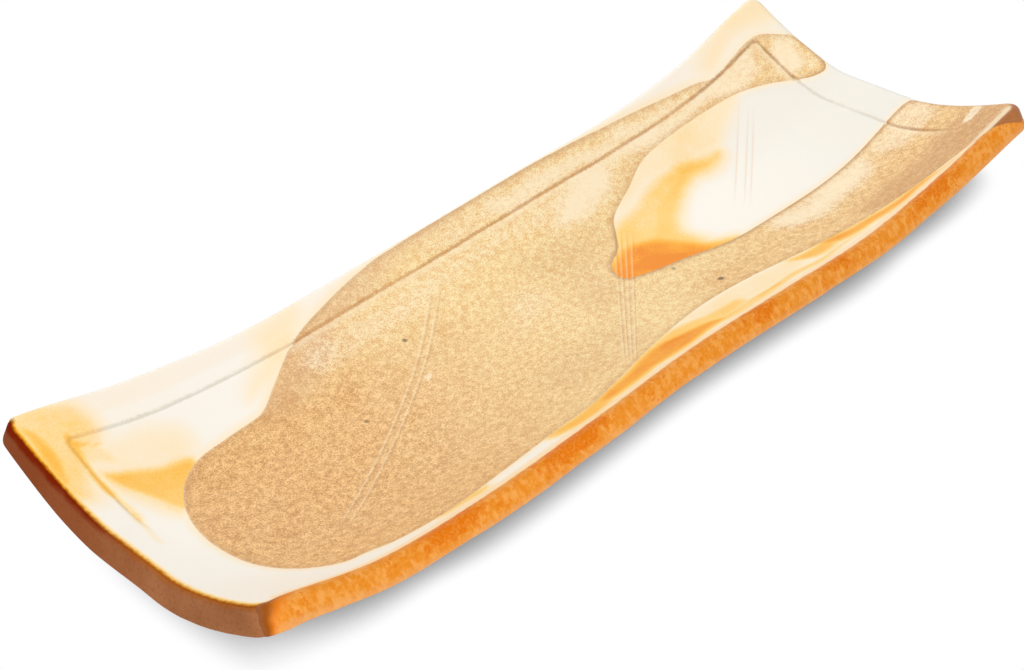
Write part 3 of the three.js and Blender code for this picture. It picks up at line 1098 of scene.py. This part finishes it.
@dataclass
class CreamCoat(GlazeSheet):
    """The first coat: cream-white over the whole face and over its arrises."""

    finish: CreamGlaze = field(default_factory=CreamGlaze)
    front_reach: float = -1.0
    back_reach: float = 3.6
    left_reach: float = 0.6
    right_reach: float = 3.0
    fringe: float = 0.22
    fringe_reach: float = 3.5
    end_depth: float = 8.0
    past_range: Span = (-10, 6)
    # Painted shade: greyer cream over the right end, away from the back rim and where the coat isn't flushed
    painted_shade_most: float = 0.75
    painted_shade_along: Span = (100, 178)
    painted_shade_across: Span = (54, 42)
    painted_shade_flush: Span = (0.3, 0.05)
    toast: float = 0.7
    rear_toast: float = 0.25
    toast_across: Span = (10, 50)
    scorch_across: Span = (-5, 45)
    # Painted highlight along the long rims, stronger at the front
    front_rim_highlight: float = 0.8
    back_rim_highlight: float = 0.15
    flushes: tuple[Wash, ...] = (
        Wash(0.33, 5.0, ((60, 30), (76, 43), (92, 50), (120, 52), (150, 48), (138, 39), (124, 32), (104, 32),
                         (86, 34))),
        Wash(0.56, 5.0, ((30, 0), (36, 15), (50, 25), (62, 29), (76, 33), (90, 36), (104, 34), (119, 30.5),
                         (105, 26.5), (93, 22.5), (80, 16), (72, 7.5), (73, -10), (60, -13), (44, -10))),
        Wash(0.63, 6.0, ((56, 10), (64, 20), (74, 28), (88, 32), (104, 31), (103, 27), (92, 22), (80, 15.5),
                         (72, 7), (73, -4), (62, -2))),
        Wash(0.67, 7.0, ((92, 31), (97, 36), (106, 35), (121, 32), (120, 29), (108, 25.5), (98, 25),
                         (88, 26))),
        Wash(0.94, 6.0, ((26, 0), (32, 12), (46, 16), (60, 13), (67, 5), (71, -4), (80, -13), (58, -14),
                         (40, -9))),
        Wash(1.0, 5.0, ((36, 4), (46, 9), (55, 7), (62, 0), (74, -12), (58, -12), (44, -7))),
        Wash(0.03, 8.0, ((-181, 66), (-120, 66), (-128, 56), (-181, 50))),
        Wash(0.48, 6.0, ((-182, 66), (-158, 65), (-154, 56), (-160, 46), (-168, 38), (-174, 28),
                         (-182, 30))),
        Wash(0.26, 5.0, ((-166, 52), (-150, 50), (-132, 46), (-130, 36), (-146, 34), (-164, 38))),
        Wash(0.42, 5.0, ((-167, 42), (-150, 39), (-134, 36), (-146, 18), (-156, 14), (-163, 24))),
        Wash(0.7, 3.6, ((-165, 39.5), (-156, 39), (-146, 36.5), (-134, 34), (-141, 18), (-152, 16),
                        (-160, 27))),
        Wash(0.42, 3.5, ((-167, 53), (-160, 51.5), (-156, 47), (-155, 42), (-161, 42), (-167, 44))),
        Wash(0.7, 1.5, ((-167, 53), (-164, 51.5), (-157, 50.2), (-163, 49), (-167, 49))),
        Wash(0.7, 1.6, ((-168.8, 54), (-165.6, 54), (-166.4, 40), (-167, 30), (-169, 30), (-169, 40))),
        Wash(0.5, 1.6, ((-168.8, 36), (-166.4, 36), (-166.8, 26), (-167.2, 16), (-168.6, 16), (-168.8, 26))),
        Wash(0.3, 1.5, ((-168.6, 22), (-166.8, 22), (-167.2, 10), (-167.6, 2), (-168.2, 2), (-168.4, 10))),
        Wash(0.72, 3.0, ((-179.5, 62), (-176, 60), (-173.5, 50), (-174, 42), (-176.5, 35), (-179.5, 38))),
        Wash(0.4, 4.0, ((-180, 44), (-174, 42), (-172, 34), (-176, 28), (-180, 34))),
        Wash(0.28, 6.0, ((-104, 42), (-94, 54), (-84, 64), (-66, 64), (-76, 50))),
        Wash(0.62, 3.0, ((-110, -55), (-98, -53), (-86, -53.5), (-88, -58), (-104, -58.5))),
        Wash(0.72, 4.0, ((-60, -51), (-45, -49), (-26, -46), (-28, -57), (-56, -57.5))),
        Wash(0.95, 4.5, ((-36, -50.5), (-20, -46), (-5, -41), (6, -39.5), (14, -44), (24, -49), (26, -55),
                         (-10, -57), (-34, -57))),
        Wash(0.6, 5.0, ((0, -39), (12, -36), (26, -40), (42, -44), (40, -52), (20, -54), (5, -47))),
        Wash(0.34, 5.0, ((20, -34), (60, -36), (76, -43), (68, -53), (40, -51))),
        Wash(0.76, 4.5, ((72, -40), (86, -43), (98, -47), (90, -53), (76, -51))),
        Wash(0.92, 4.0, ((86, -44), (104, -48), (126, -53), (150, -60), (128, -59.5), (104, -56.5),
                         (90, -53))),
        Wash(0.55, 2.5, ((14, -51), (45, -51), (80, -53), (104, -57), (60, -58), (20, -57.5))),
        Wash(0.85, 1.0, ((-6, -55), (15, -53.5), (35, -52.7), (56, -53.8), (56, -54.6), (35, -53.8),
                         (15, -54.6))),
        Wash(0.3, 7.0, ((138, 54), (160, 58), (182, 50), (184, 66), (150, 66))),
        Wash(0.03, 8.0, ((152, -10), (182, -12), (182, 26), (160, 34))),
    )

    def build(self, pour: Array) -> bpy.types.Object:
        """Builds the coat.

        Args:
            pour: the outline of the tan pour that covers part of it.

        Returns:
            The dressed piece.
        """
        half_x, half_y = self.form.face_half

        def outline(x: Array, y: Array) -> Array:
            """Distance from the line where the coat ends on the arris.

            Args:
                x: places along the plate.
                y: places across it.

            Returns:
                Millimetres, below 0 inside.
            """
            beyond, out_x, _ = self.form.past_face(x, y)
            side = np.where(y < 0, self.front_reach, self.back_reach)
            end = np.where(x < 0, self.left_reach, self.right_reach)
            return beyond - (side + (end - side) * end_share(out_x))

        def marks(x: Array, y: Array, away: Array) -> dict[str, Array]:
            """Flush, and how far the coat has run over the arris.

            Args:
                x: places along the plate.
                y: places across it.
                away: distance from the coat's outline.

            Returns:
                The named marks.
            """
            beyond, out_x, _ = self.form.past_face(x, y)
            left_end = np.where((beyond > -self.end_depth) & (x < 0), end_share(out_x), 0)
            fringe = self.fringe * ease(signed_distance(x, y, pour), self.fringe_reach, 0.0)
            flush = np.clip(np.maximum(blot(self.flushes, x, y), fringe), 0, 1)
            plain = ease(flush, *self.painted_shade_flush)
            return {
                "flush": flush,
                # Painted shade over the right end
                "heavy": self.painted_shade_most * ease(x, *self.painted_shade_along) * plain * ease(y, *self.painted_shade_across),
                "past": np.clip(beyond, *self.past_range),
                "end": left_end,
                "toast": left_end * (self.toast + self.rear_toast * ease(y, *self.toast_across)),
                "scorch": ease(y, *self.scorch_across),
                # Painted highlight along the long rims, not at the ends
                "lip": np.where(y < 0, self.front_rim_highlight, self.back_rim_highlight) * (1 - end_share(out_x)),
            }

        margin = max(self.back_reach, self.right_reach) + 2 * self.step
        xs, ys = (places(-half - margin, half + margin, self.step) for half in (half_x, half_y))
        piece = self.sheet("cream_coat", xs, ys, outline, marks)
        piece.data.materials.append(self.finish.material(self.lines))
        return piece


@dataclass
class TanPour(GlazeSheet):
    """The second coat: tan, poured over the cream so that a window stays bare at the right end."""

    finish: TanGlaze = field(default_factory=TanGlaze)
    span_steps: int = 6
    edge_range: Span = (0, 30)
    # Painted sheen: the tan is paler towards the right end and the back, and darker in one patch near the
    # middle front
    light: float = 0.9
    sheen_along: Span = (-140, 40)
    rear_sheen: float = 0.3
    rear_sheen_across: Span = (20, 45)
    dull: float = 0.45
    dull_along: Span = (20, 60)
    dull_across: Span = (-8, -26)
    bound: float = 0.15
    window_bound: float = 0.45
    window_along: Span = (15, 45)
    window_front: Span = (-24, -14)
    window_back: Span = (34, 24)
    rear_bound: float = 0.5
    rear_along: Span = (100, 60)
    rear_across: Span = (47, 54)
    feather: float = 0.35
    feather_along: Span = (20, -60)
    worn: float = 0.1
    front_worn: float = 0.8
    worn_past: Span = (-0.6, 0.8)
    worn_turn: Span = (-0.2, -0.7)
    # Painted highlight: a cream line along the pour's front rim
    lip: float = 0.75
    rim_highlight_turn: Span = (-0.4, -0.9)
    rim_highlight_start: Span = (-4, -2)
    rim_highlight_stop: Span = (0.6, -0.6)
    corners: Points = (
        (-108, 36), (-121, 35), (-135, 32.5), (-146, 25), (-154, 11), (-157, -5), (-154, -22), (-147, -38),
        (-139, -47.3), (-131.5, -49), (-123, -52.6), (-106, -55.2), (-80, -53), (-55, -51), (-36, -50.3),
        (-20, -46.3), (8, -38.2), (35, -34), (58, -36), (85, -43), (115, -51), (142, -57), (157, -61.5),
        (167, -66), (176, -70), (183, -64), (181.6, -37), (180, -16), (176.5, -13.6), (140, -13),
        (100, -12.7), (78, -11.5), (58, -6.2), (40, -1.4), (34.2, 1.6), (34.2, 6), (37.5, 11), (47, 16.7),
        (52.5, 23), (58.5, 29.8), (76, 38), (90, 44.2), (108, 46.5), (130, 46.4), (146, 44), (159, 38),
        (166.5, 32.3), (173, 27), (178, 25), (180.6, 28), (180.6, 43), (176.5, 48.2), (168.2, 54.2),
        (142, 54.2), (136, 56.4), (118, 59.3), (97, 62), (65, 64), (25, 64.5), (-15, 64.3), (-34, 63.2),
        (-54, 59.8), (-76, 53.8), (-92, 44.6), (-104, 37),
    )
    # Pale patches: partly thin glaze, partly a painted sheen where the soft light shines on the satin glaze
    sheen_and_thin_spots: tuple[Wash, ...] = (
        Wash(0.98, 6.5, ((92, -16), (120, -14), (150, -14.5), (146, -24), (122, -28), (100, -27))),
        Wash(1.15, 4.0, ((122, -19), (134, -17), (142, -18), (136, -22), (126, -23))),
        Wash(1.05, 6.5, ((38, 40), (52, 50), (76, 52), (70, 41), (52, 36))),
        Wash(0.85, 3.0, ((70, 53), (120, 53), (162, 52), (160, 44), (130, 48), (90, 47))),
        Wash(0.45, 3.0, ((-16, 58), (0, 60), (30, 60), (30, 55), (-10, 55))),
        Wash(0.5, 4.5, ((-82, 46), (-40, 49), (10, 49.5), (46, 49.5), (45, 44), (0, 43), (-40, 38),
                        (-76, 38))),
        Wash(0.22, 6.0, ((-8, 22), (8, 20), (8, -4), (-8, -4))),
        Wash(0.4, 3.0, ((110, 58), (140, 56), (166, 54.5), (166, 50), (140, 51), (110, 53))),
        Wash(0.35, 4.0, ((158, 42), (172, 40), (181, 36), (181, 26), (172, 28), (162, 32))),
        Wash(0.78, 3.0, ((20, 59.5), (60, 60), (120, 57), (130, 54), (60, 54), (20, 54.5))),
        Wash(0.35, 6.0, ((-18, 8), (0, 26), (10, 20), (-8, 4))),
        Wash(0.9, 1.2, ((-54.5, 11), (-52, 13.5), (-49.5, 13), (-52, 10.5))),
        Wash(0.7, 5.0, ((150, -15), (180, -15), (180, -30), (160, -28))),
        Wash(1.0, 3.5, ((168, 34), (176, 32), (178, 44), (170, 47))),
        Wash(0.95, 0.8, ((170, -46), (179.5, -45), (179.5, -48.7), (171, -48.5))),
    )
    deep_spots: tuple[Wash, ...] = (
        Wash(0.3, 7.0, ((12, 32), (34, 36), (50, 31), (46, 20), (30, 8), (28, -6), (12, -6), (16, 14))),
        Wash(0.25, 7.0, ((-30, -18), (12, -16), (12, -34), (-24, -36))),
        Wash(0.42, 4.0, ((-100, 42), (-76, 55), (-54, 61), (-32, 65), (-14, 66), (-18, 60), (-40, 55),
                         (-60, 50), (-84, 40))),
        Wash(0.42, 2.6, ((-25, 67), (20, 67), (76, 66.5), (112, 62.5), (110, 60.5), (76, 62.5), (20, 62.5),
                         (-25, 61.5))),
        Wash(0.5, 4.0, ((-108, 36), (-92, 43), (-76, 50), (-60, 52), (-70, 42), (-90, 32), (-104, 30))),
        Wash(0.25, 4.0, ((150, 54), (164, 53), (173, 42), (171, 34), (164, 36), (158, 46))),
        Wash(0.2, 3.0, ((60, 32), (90, 45), (130, 47), (160, 38), (166, 33), (166, 44), (140, 50), (90, 50),
                        (66, 40))),
        Wash(0.85, 6.0, ((112, -42), (150, -40), (180, -44), (180, -64), (150, -61), (115, -53))),
    )

    def outline(self) -> Array:
        """The pour's outline as a polygon."""
        return closed_curve(self.corners, self.span_steps)

    def build(self) -> bpy.types.Object:
        """Builds the pour and dresses it.

        Returns:
            The dressed piece.
        """
        polygon = self.outline()

        def distance(x: Array, y: Array) -> Array:
            """Distance from the pour's outline, below 0 inside."""
            return signed_distance(x, y, polygon)

        def marks(x: Array, y: Array, away: Array) -> dict[str, Array]:
            """How far in from the outline, where sheen and a rim highlight are painted, how thin or deep,
            and how far over the arris.

            Args:
                x: places along the plate.
                y: places across it.
                away: distance from the pour's outline.

            Returns:
                The named marks.
            """
            past, _, out_y = self.form.past_face(x, y)
            # Painted sheen: paler towards the right end and the back
            painted_sheen = self.light * ease(x, *self.sheen_along)
            painted_sheen += self.rear_sheen * ease(y, *self.rear_sheen_across)
            window = ease(x, *self.window_along) * ease(y, *self.window_front) * ease(y, *self.window_back)
            rear = self.rear_bound * ease(y, *self.rear_across) * ease(x, *self.rear_along)
            rubbed = self.worn + self.front_worn * ease(out_y, *self.worn_turn)
            rolled = ease(past, *self.rim_highlight_start) * ease(past, *self.rim_highlight_stop)
            return {
                "edge": np.clip(-away, *self.edge_range),
                # Painted sheen, and darker in one patch near the middle front
                "light": painted_sheen - self.dull * ease(x, *self.dull_along) * ease(y, *self.dull_across),
                # Thin glaze and painted sheen
                "pale": blot(self.sheen_and_thin_spots, x, y),
                "deep": blot(self.deep_spots, x, y),
                "bound": self.bound + self.window_bound * np.maximum(window, rear),
                "feather": self.feather * ease(x, *self.feather_along),
                "worn": ease(past, *self.worn_past) * rubbed,
                # Painted highlight along the front rim
                "lip": self.lip * ease(out_y, *self.rim_highlight_turn) * rolled,
            }

        low, high = polygon.min(0) - 2 * self.step, polygon.max(0) + 2 * self.step
        xs, ys = (places(low[k], high[k], self.step) for k in (0, 1))
        piece = self.sheet("tan_pour", xs, ys, distance, marks)
        piece.data.materials.append(self.finish.material(self.lines))
        return piece


@dataclass
class EdgeCoat(GlazeSheet):
    """Amber glaze that ran down one long cut edge."""

    finish: AmberGlaze = field(default_factory=AmberGlaze)
    front_start: float = -4.2
    back_start: float = 3.0
    run: float = 9.9
    waver: float = 0.35
    front_turn: float = 58.0
    back_turn: float = 12.0
    scorch: float = 11.0
    corner_rise: float = 1.6
    foot_waves: Span = (17.0, 7.3)
    tip_wave: float = 1.3
    rich_drop: Span = (8.5, 3.5)
    deep_spots: tuple[tuple[float, float, float], ...] = (
        (-112, 22, 1.0), (-60, 24, 1.0), (28, 18, 0.6), (72, 20, 0.45), (125, 30, 0.65))

    def build(self, edge: Edge, material: bpy.types.Material) -> bpy.types.Object:
        """Builds the coat.

        Args:
            edge: which long edge.
            material: the amber glaze, shared by both edges.

        Returns:
            The dressed piece.
        """
        half_x, half_y = self.form.face_half
        turn = math.radians(self.front_turn if edge is Edge.FRONT else self.back_turn)
        start = self.front_start if edge is Edge.FRONT else self.back_start

        def tips(x: Array, y: Array) -> Array:
            """Distance from the band's two ends, which lie part of the way round the corners.

            Args:
                x: places along the plate.
                y: places across it.

            Returns:
                Millimetres, below 0 inside.
            """
            beyond = self.form.past_face(x, y)[0]
            into_x, into_y = self.form.into_corner(x, y)
            wave = self.waver * np.sin(beyond * self.tip_wave)
            return into_x * math.cos(turn) - into_y * math.sin(turn) - wave

        def outline(x: Array, y: Array) -> Array:
            """Distance from the band's edges: its start on the arris, its foot and its two ends.

            Args:
                x: places along the plate.
                y: places across it.

            Returns:
                Millimetres, below 0 inside.
            """
            beyond = self.form.past_face(x, y)[0]
            slow, quick = self.foot_waves
            foot = self.run + self.waver * (np.sin(x / slow) + np.sin(x / quick + 1))
            return np.maximum.reduce([start - beyond, beyond - foot, tips(x, y)])

        def marks(x: Array, y: Array, away: Array) -> dict[str, Array]:
            """How far the glaze has run over the edge, and where it is rich.

            Args:
                x: places along the plate.
                y: places across it.
                away: distance from the band's outline.

            Returns:
                The named marks.
            """
            beyond, out_x, _ = self.form.past_face(x, y)
            rich = [share * ease(np.abs(x - place), reach, 0) for place, reach, share in self.deep_spots]
            return {
                "past": beyond - self.corner_rise * end_share(out_x),
                "deep": np.maximum.reduce(rich) * ease(beyond, *self.rich_drop),
                "tip": ease(tips(x, y), -self.scorch, 0),
            }

        reach = self.run + 3 * self.waver + self.step
        wide = half_x + reach * math.sin(turn)
        ys = edge.value * places(half_y + start - self.step, half_y + reach, self.step)
        piece = self.sheet(f"{edge.name.lower()}_edge_coat", places(-wide, wide, self.step), np.sort(ys),
                           outline, marks)
        piece.data.materials.append(material)
        return piece


@dataclass
class ClaySlab:
    """The clay body: its bare ends and underside show, and its face lies under the glaze."""

    form: PlateForm
    finish: BareClay = field(default_factory=BareClay)
    step: float = 2.0
    ring_step: float = 0.9
    corner_cells: int = 8
    rough: float = 0.12
    margin: float = 0.1
    sink_past: Span = (1.0, 3.0)
    under_past: float = 20.0
    flash: float = 0.75
    flash_along: Span = (-120, -176)
    flash_across: Span = (-30, 60)
    band: float = 1.2
    left_band: float = 1.4
    band_across: Span = (5, 64)

    def stations(self, half: float, low_corner: float, high_corner: float) -> Array:
        """Grid places across the face, with finer steps in the rounded corners.

        Args:
            half: half the face's length or width.
            low_corner: radius of the corners at its low side.
            high_corner: radius of the corners at its high side.

        Returns:
            Places from one side to the other.
        """
        low = np.linspace(-half, low_corner - half, self.corner_cells + 1)[:-1]
        high = np.linspace(half - high_corner, half, self.corner_cells + 1)[1:]
        return np.concatenate([low, places(low_corner - half, half - high_corner, self.step), high])

    def crossings(self) -> tuple[Array, Array]:
        """Lays out the grid of the face, with its corner squares drawn in to round corners.

        Returns:
            Plan places of the grid's crossings, along and across.
        """
        half_x, half_y = self.form.face_half
        front, back = (float(self.form.face_corner(side)) for side in (-half_y, half_y))
        grid_x, grid_y = np.meshgrid(self.stations(half_x, front, front), self.stations(half_y, front, back))
        radius = self.form.face_corner(grid_y)
        into_x, into_y = (into / radius for into in self.form.into_corner(grid_x, grid_y))
        corner = (into_x > 0) & (into_y > 0)
        reach = np.maximum(into_x, into_y)
        lean = np.minimum(into_x, into_y) / np.where(corner, reach, 1)
        angle = np.where(into_x >= into_y, lean * QUARTER / 2, QUARTER - lean * QUARTER / 2)
        round_x = np.sign(grid_x) * (half_x - radius + radius * reach * np.cos(angle))
        round_y = np.sign(grid_y) * (half_y - radius + radius * reach * np.sin(angle))
        return np.where(corner, round_x, grid_x), np.where(corner, round_y, grid_y)

    def uneven(self, points: Array) -> Array:
        """Hand-made unevenness of the cut clay, from three crossing waves.

        Args:
            points: places on the cut edge, one row each.

        Returns:
            Millimetres.
        """
        x, y, z = points.T
        waves = np.sin(x / 9.1 + y / 6.3) + np.sin(y / 4.1 - z / 2.3) + np.sin(x / 3.7 + z / 3.1)
        return self.rough * waves / 2

    def cut_edge(self, rim_x: Array, rim_y: Array) -> tuple[list[Array], list[Array]]:
        """Rings of points from the face's edge down to the underside.

        Args:
            rim_x: places along the plate of the face's edge points.
            rim_y: their places across.

        Returns:
            The rings, from the top down, and how far each point lies past the face.
        """
        form = self.form
        _, out_x, out_y = form.past_face(rim_x * JUST_OUTSIDE, rim_y * JUST_OUTSIDE)
        outward = np.stack([out_x, out_y, np.zeros_like(out_x)], -1)
        cut = form.thickness(rim_x) - form.top_arris - form.lower_arris
        total = (form.top_arris + form.lower_arris) * QUARTER + cut
        rings, pasts = [], []
        for share in places(0, 1, self.ring_step / float(total.max()))[1:]:
            past = total * share
            ring = form.skin(rim_x + out_x * past, rim_y + out_y * past, np.zeros(rim_x.shape))
            sink = ease(past, *self.sink_past) * (self.margin + np.abs(self.uneven(ring)))
            rings.append(ring - outward * sink[:, None])
            pasts.append(past)
        return rings, pasts

    def build(self) -> bpy.types.Object:
        """Builds the slab as two sheets joined by rings round the cut edge, and dresses it.

        Returns:
            The dressed piece.
        """
        form = self.form
        x, y = self.crossings()
        count = x.size
        number = np.arange(count).reshape(x.shape)
        loop = np.concatenate([number[0, :-1], number[:-1, -1], number[-1, :0:-1], number[:0:-1, 0]])
        flat_x, flat_y = x.ravel(), y.ravel()
        top = form.skin(flat_x, flat_y, np.zeros(flat_x.shape))
        under = top - form.normal(flat_x, flat_y) * form.thickness(flat_x)[:, None]
        under[:, 2] = np.maximum(under[:, 2], 0)
        rings, pasts = self.cut_edge(flat_x[loop], flat_y[loop])
        cells = quads(number).reshape(-1, 4)
        faces = cells.tolist() + (cells[:, ::-1] + count).tolist()
        levels = [loop] + [2 * count + k * len(loop) + np.arange(len(loop)) for k in range(len(rings))]
        levels.append(loop + count)
        for above, below in zip(levels, levels[1:]):
            faces += np.stack([above, below, np.roll(below, -1), np.roll(above, -1)], -1).tolist()
        points = np.concatenate([top, under, *rings])
        left = ease(points[:, 0], *self.flash_along)
        marks = {
            "past": np.concatenate([np.zeros(count), np.full(count, self.under_past), *pasts]),
            "burnt": self.flash * left * ease(points[:, 1], *self.flash_across),
            "band": self.band + self.left_band * left * ease(points[:, 1], *self.band_across),
        }
        piece = make_object("clay_body", points, [tuple(face) for face in faces], marks)
        piece.data.materials.append(self.finish.material())
        return piece


@dataclass(frozen=True)
class Lamp:
    """A round soft lamp, aimed at the plate."""

    name: str
    place: tuple[float, float, float]
    size: float
    power: float

    def build(self) -> None:
        """Hangs the lamp in the scene."""
        data = bpy.data.lights.new(self.name, "AREA")
        data.shape, data.size, data.energy = "DISK", self.size, self.power
        lamp = bpy.data.objects.new(self.name, data)
        lamp.location = self.place
        lamp.rotation_euler = (-Vector(self.place)).to_track_quat("-Z", "Y").to_euler()
        bpy.context.scene.collection.objects.link(lamp)


@dataclass(frozen=True)
class Studio:
    """A pale floor, soft light from above and behind, and the photograph's point of view."""

    eye: tuple[float, float, float] = (-390.6, -412.7, 414.1)
    yaw: float = 41.633
    pitch: float = 35.861
    roll: float = -4.816
    focal_pixels: float = 1998.9
    sensor: float = 36.0
    nearest: float = 0.01
    floor: str = "#eceeee"
    floor_size: float = 6.0
    shadow_reach: float = 16.0
    shadow_end_reach: float = 25.0
    shadow_ends: Span = (110, 200)
    shadow_gap: float = -138.0
    shadow_gap_span: Span = (48, 15)
    shadow_dip: float = 1.5
    shadow_lean: tuple[float, float, float] = (-0.68, 0.32, 0.66)
    shadow_openness: Span = (0.4, 0.84)
    shadow_darkest: float = 0.25
    shadow_samples: int = 32
    sky: float = 0.336
    lamps: tuple[Lamp, ...] = (
        Lamp("back_softbox", (0.3, 1.1, 1.15), 2.2, 22.5),
        Lamp("front_fill", (-0.6, -1.2, 0.6), 1.2, 15.5),
    )

    def camera(self) -> None:
        """Sets the camera where the photograph was taken from."""
        yaw, pitch, roll = (math.radians(a) for a in (self.yaw, self.pitch, self.roll))
        ahead = Vector((math.sin(yaw) * math.cos(pitch), math.cos(yaw) * math.cos(pitch), -math.sin(pitch)))
        level = Vector((math.cos(yaw), -math.sin(yaw), 0))
        upright = level.cross(ahead)
        right = level * math.cos(roll) + upright * math.sin(roll)
        up = upright * math.cos(roll) - level * math.sin(roll)
        data = bpy.data.cameras.new("camera")
        data.sensor_width = self.sensor
        data.lens = self.focal_pixels / PHOTO_WIDTH * self.sensor
        data.clip_start = self.nearest
        camera = bpy.data.objects.new("camera", data)
        turn = Matrix((right, up, -ahead)).transposed().to_4x4()
        camera.matrix_world = Matrix.Translation(Vector(self.eye) * MM) @ turn
        bpy.context.scene.collection.objects.link(camera)
        bpy.context.scene.camera = camera

    def ground(self) -> None:
        """Lays the floor: white to the camera, with the plate's own soft shadow close under it."""
        half = self.floor_size / 2
        corners = [(-half, -half, 0), (half, -half, 0), (half, half, 0), (-half, half, 0)]
        mesh = bpy.data.meshes.new("floor")
        mesh.from_pydata(corners, [], [(0, 1, 2, 3)])
        floor = bpy.data.objects.new("floor", mesh)
        bpy.context.scene.collection.objects.link(floor)
        tree = Tree(bpy.data.materials.new("pale_floor"))
        x = tree.flat_place()[0]
        from_middle = tree.do(Step.SIZE, x)
        ends = tree.do(Step.SPAN, from_middle, *self.shadow_ends, self.shadow_reach * MM,
                       self.shadow_end_reach * MM)
        from_gap = tree.do(Step.SIZE, tree.do(Step.MINUS, x, self.shadow_gap))
        dip = tree.do(Step.SPAN, from_gap, *self.shadow_gap_span, 0, self.shadow_dip * MM)
        reach = tree.do(Step.MINUS, ends, dip)
        lean = tree.add("ShaderNodeCombineXYZ", dict(enumerate(self.shadow_lean))).outputs[0]
        around = {"Distance": reach, "Normal": lean}
        shade = tree.add("ShaderNodeAmbientOcclusion", around, samples=self.shadow_samples).outputs["AO"]
        depth = tree.do(Step.SPAN, shade, *self.shadow_openness, self.shadow_darkest, 1.0)
        glow = tree.add("ShaderNodeEmission", {"Strength": depth}).outputs[0]
        paper = tree.add("ShaderNodeBsdfDiffuse", {"Color": linear(self.floor)}).outputs[0]
        both = tree.add("ShaderNodeMixShader", {0: tree.looked_at(), 1: paper, 2: glow}).outputs[0]
        tree.add("ShaderNodeOutputMaterial", {"Surface": both})
        mesh.materials.append(tree.owner)

    def lights(self) -> None:
        """Sets an even sky and the lamps."""
        tree = Tree(bpy.data.worlds.new("studio"))
        shares = {"Value": tree.looked_at(), "To Min": self.sky, "To Max": 1.0}
        strength = tree.add("ShaderNodeMapRange", shares).outputs[0]
        sky = tree.add("ShaderNodeBackground", {"Color": linear("#ffffff"), "Strength": strength}).outputs[0]
        tree.add("ShaderNodeOutputWorld", {"Surface": sky})
        bpy.context.scene.world = tree.owner
        for lamp in self.lamps:
            lamp.build()

    def build(self) -> None:
        """Sets up the whole studio."""
        bpy.context.scene.view_settings.view_transform = "Standard"
        self.camera()
        self.ground()
        self.lights()


def seat(piece: bpy.types.Object, node: str, slot: str) -> None:
    """Puts a piece in the place of its CAD node and logs it.

    Args:
        piece: the dressed piece.
        node: the CAD node that it stands for.
        slot: not used.
    """
    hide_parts(node)
    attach(piece, "root")
    log.info("%s: %d faces for %s", piece.name, len(piece.data.polygons), node)


def main() -> None:
    """Loads the frame, builds the plate over it, and logs each piece's faces."""
    logging.basicConfig(level=logging.INFO, format="%(name)s %(message)s")
    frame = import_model()
    log.info("frame loaded: %d nodes", len(frame["nodes"]))
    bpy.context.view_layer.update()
    Studio().build()
    form = PlateForm()
    lines = PressedLines(form)
    pour = TanPour(form, lines, step=0.75, seat=0.53, coat=0.23, roll=3.0)
    cream = CreamCoat(form, lines, step=1.0, seat=0.0, coat=0.55, roll=2.0)
    band = EdgeCoat(form, lines, step=0.8, seat=0.0, coat=0.52, roll=1.6)
    amber = band.finish.material()
    seat(ClaySlab(form).build(), "clay_slab", "clay")
    seat(cream.build(pour.outline()), "white_glaze", "white_glaze")
    seat(pour.build(), "tan_glaze_pour", "tan_glaze")
    seat(band.build(Edge.FRONT, amber), "front_edge_glaze", "amber_glaze")
    seat(band.build(Edge.BACK, amber), "back_edge_glaze", "amber_glaze")


if __name__ == "__main__":
    main()
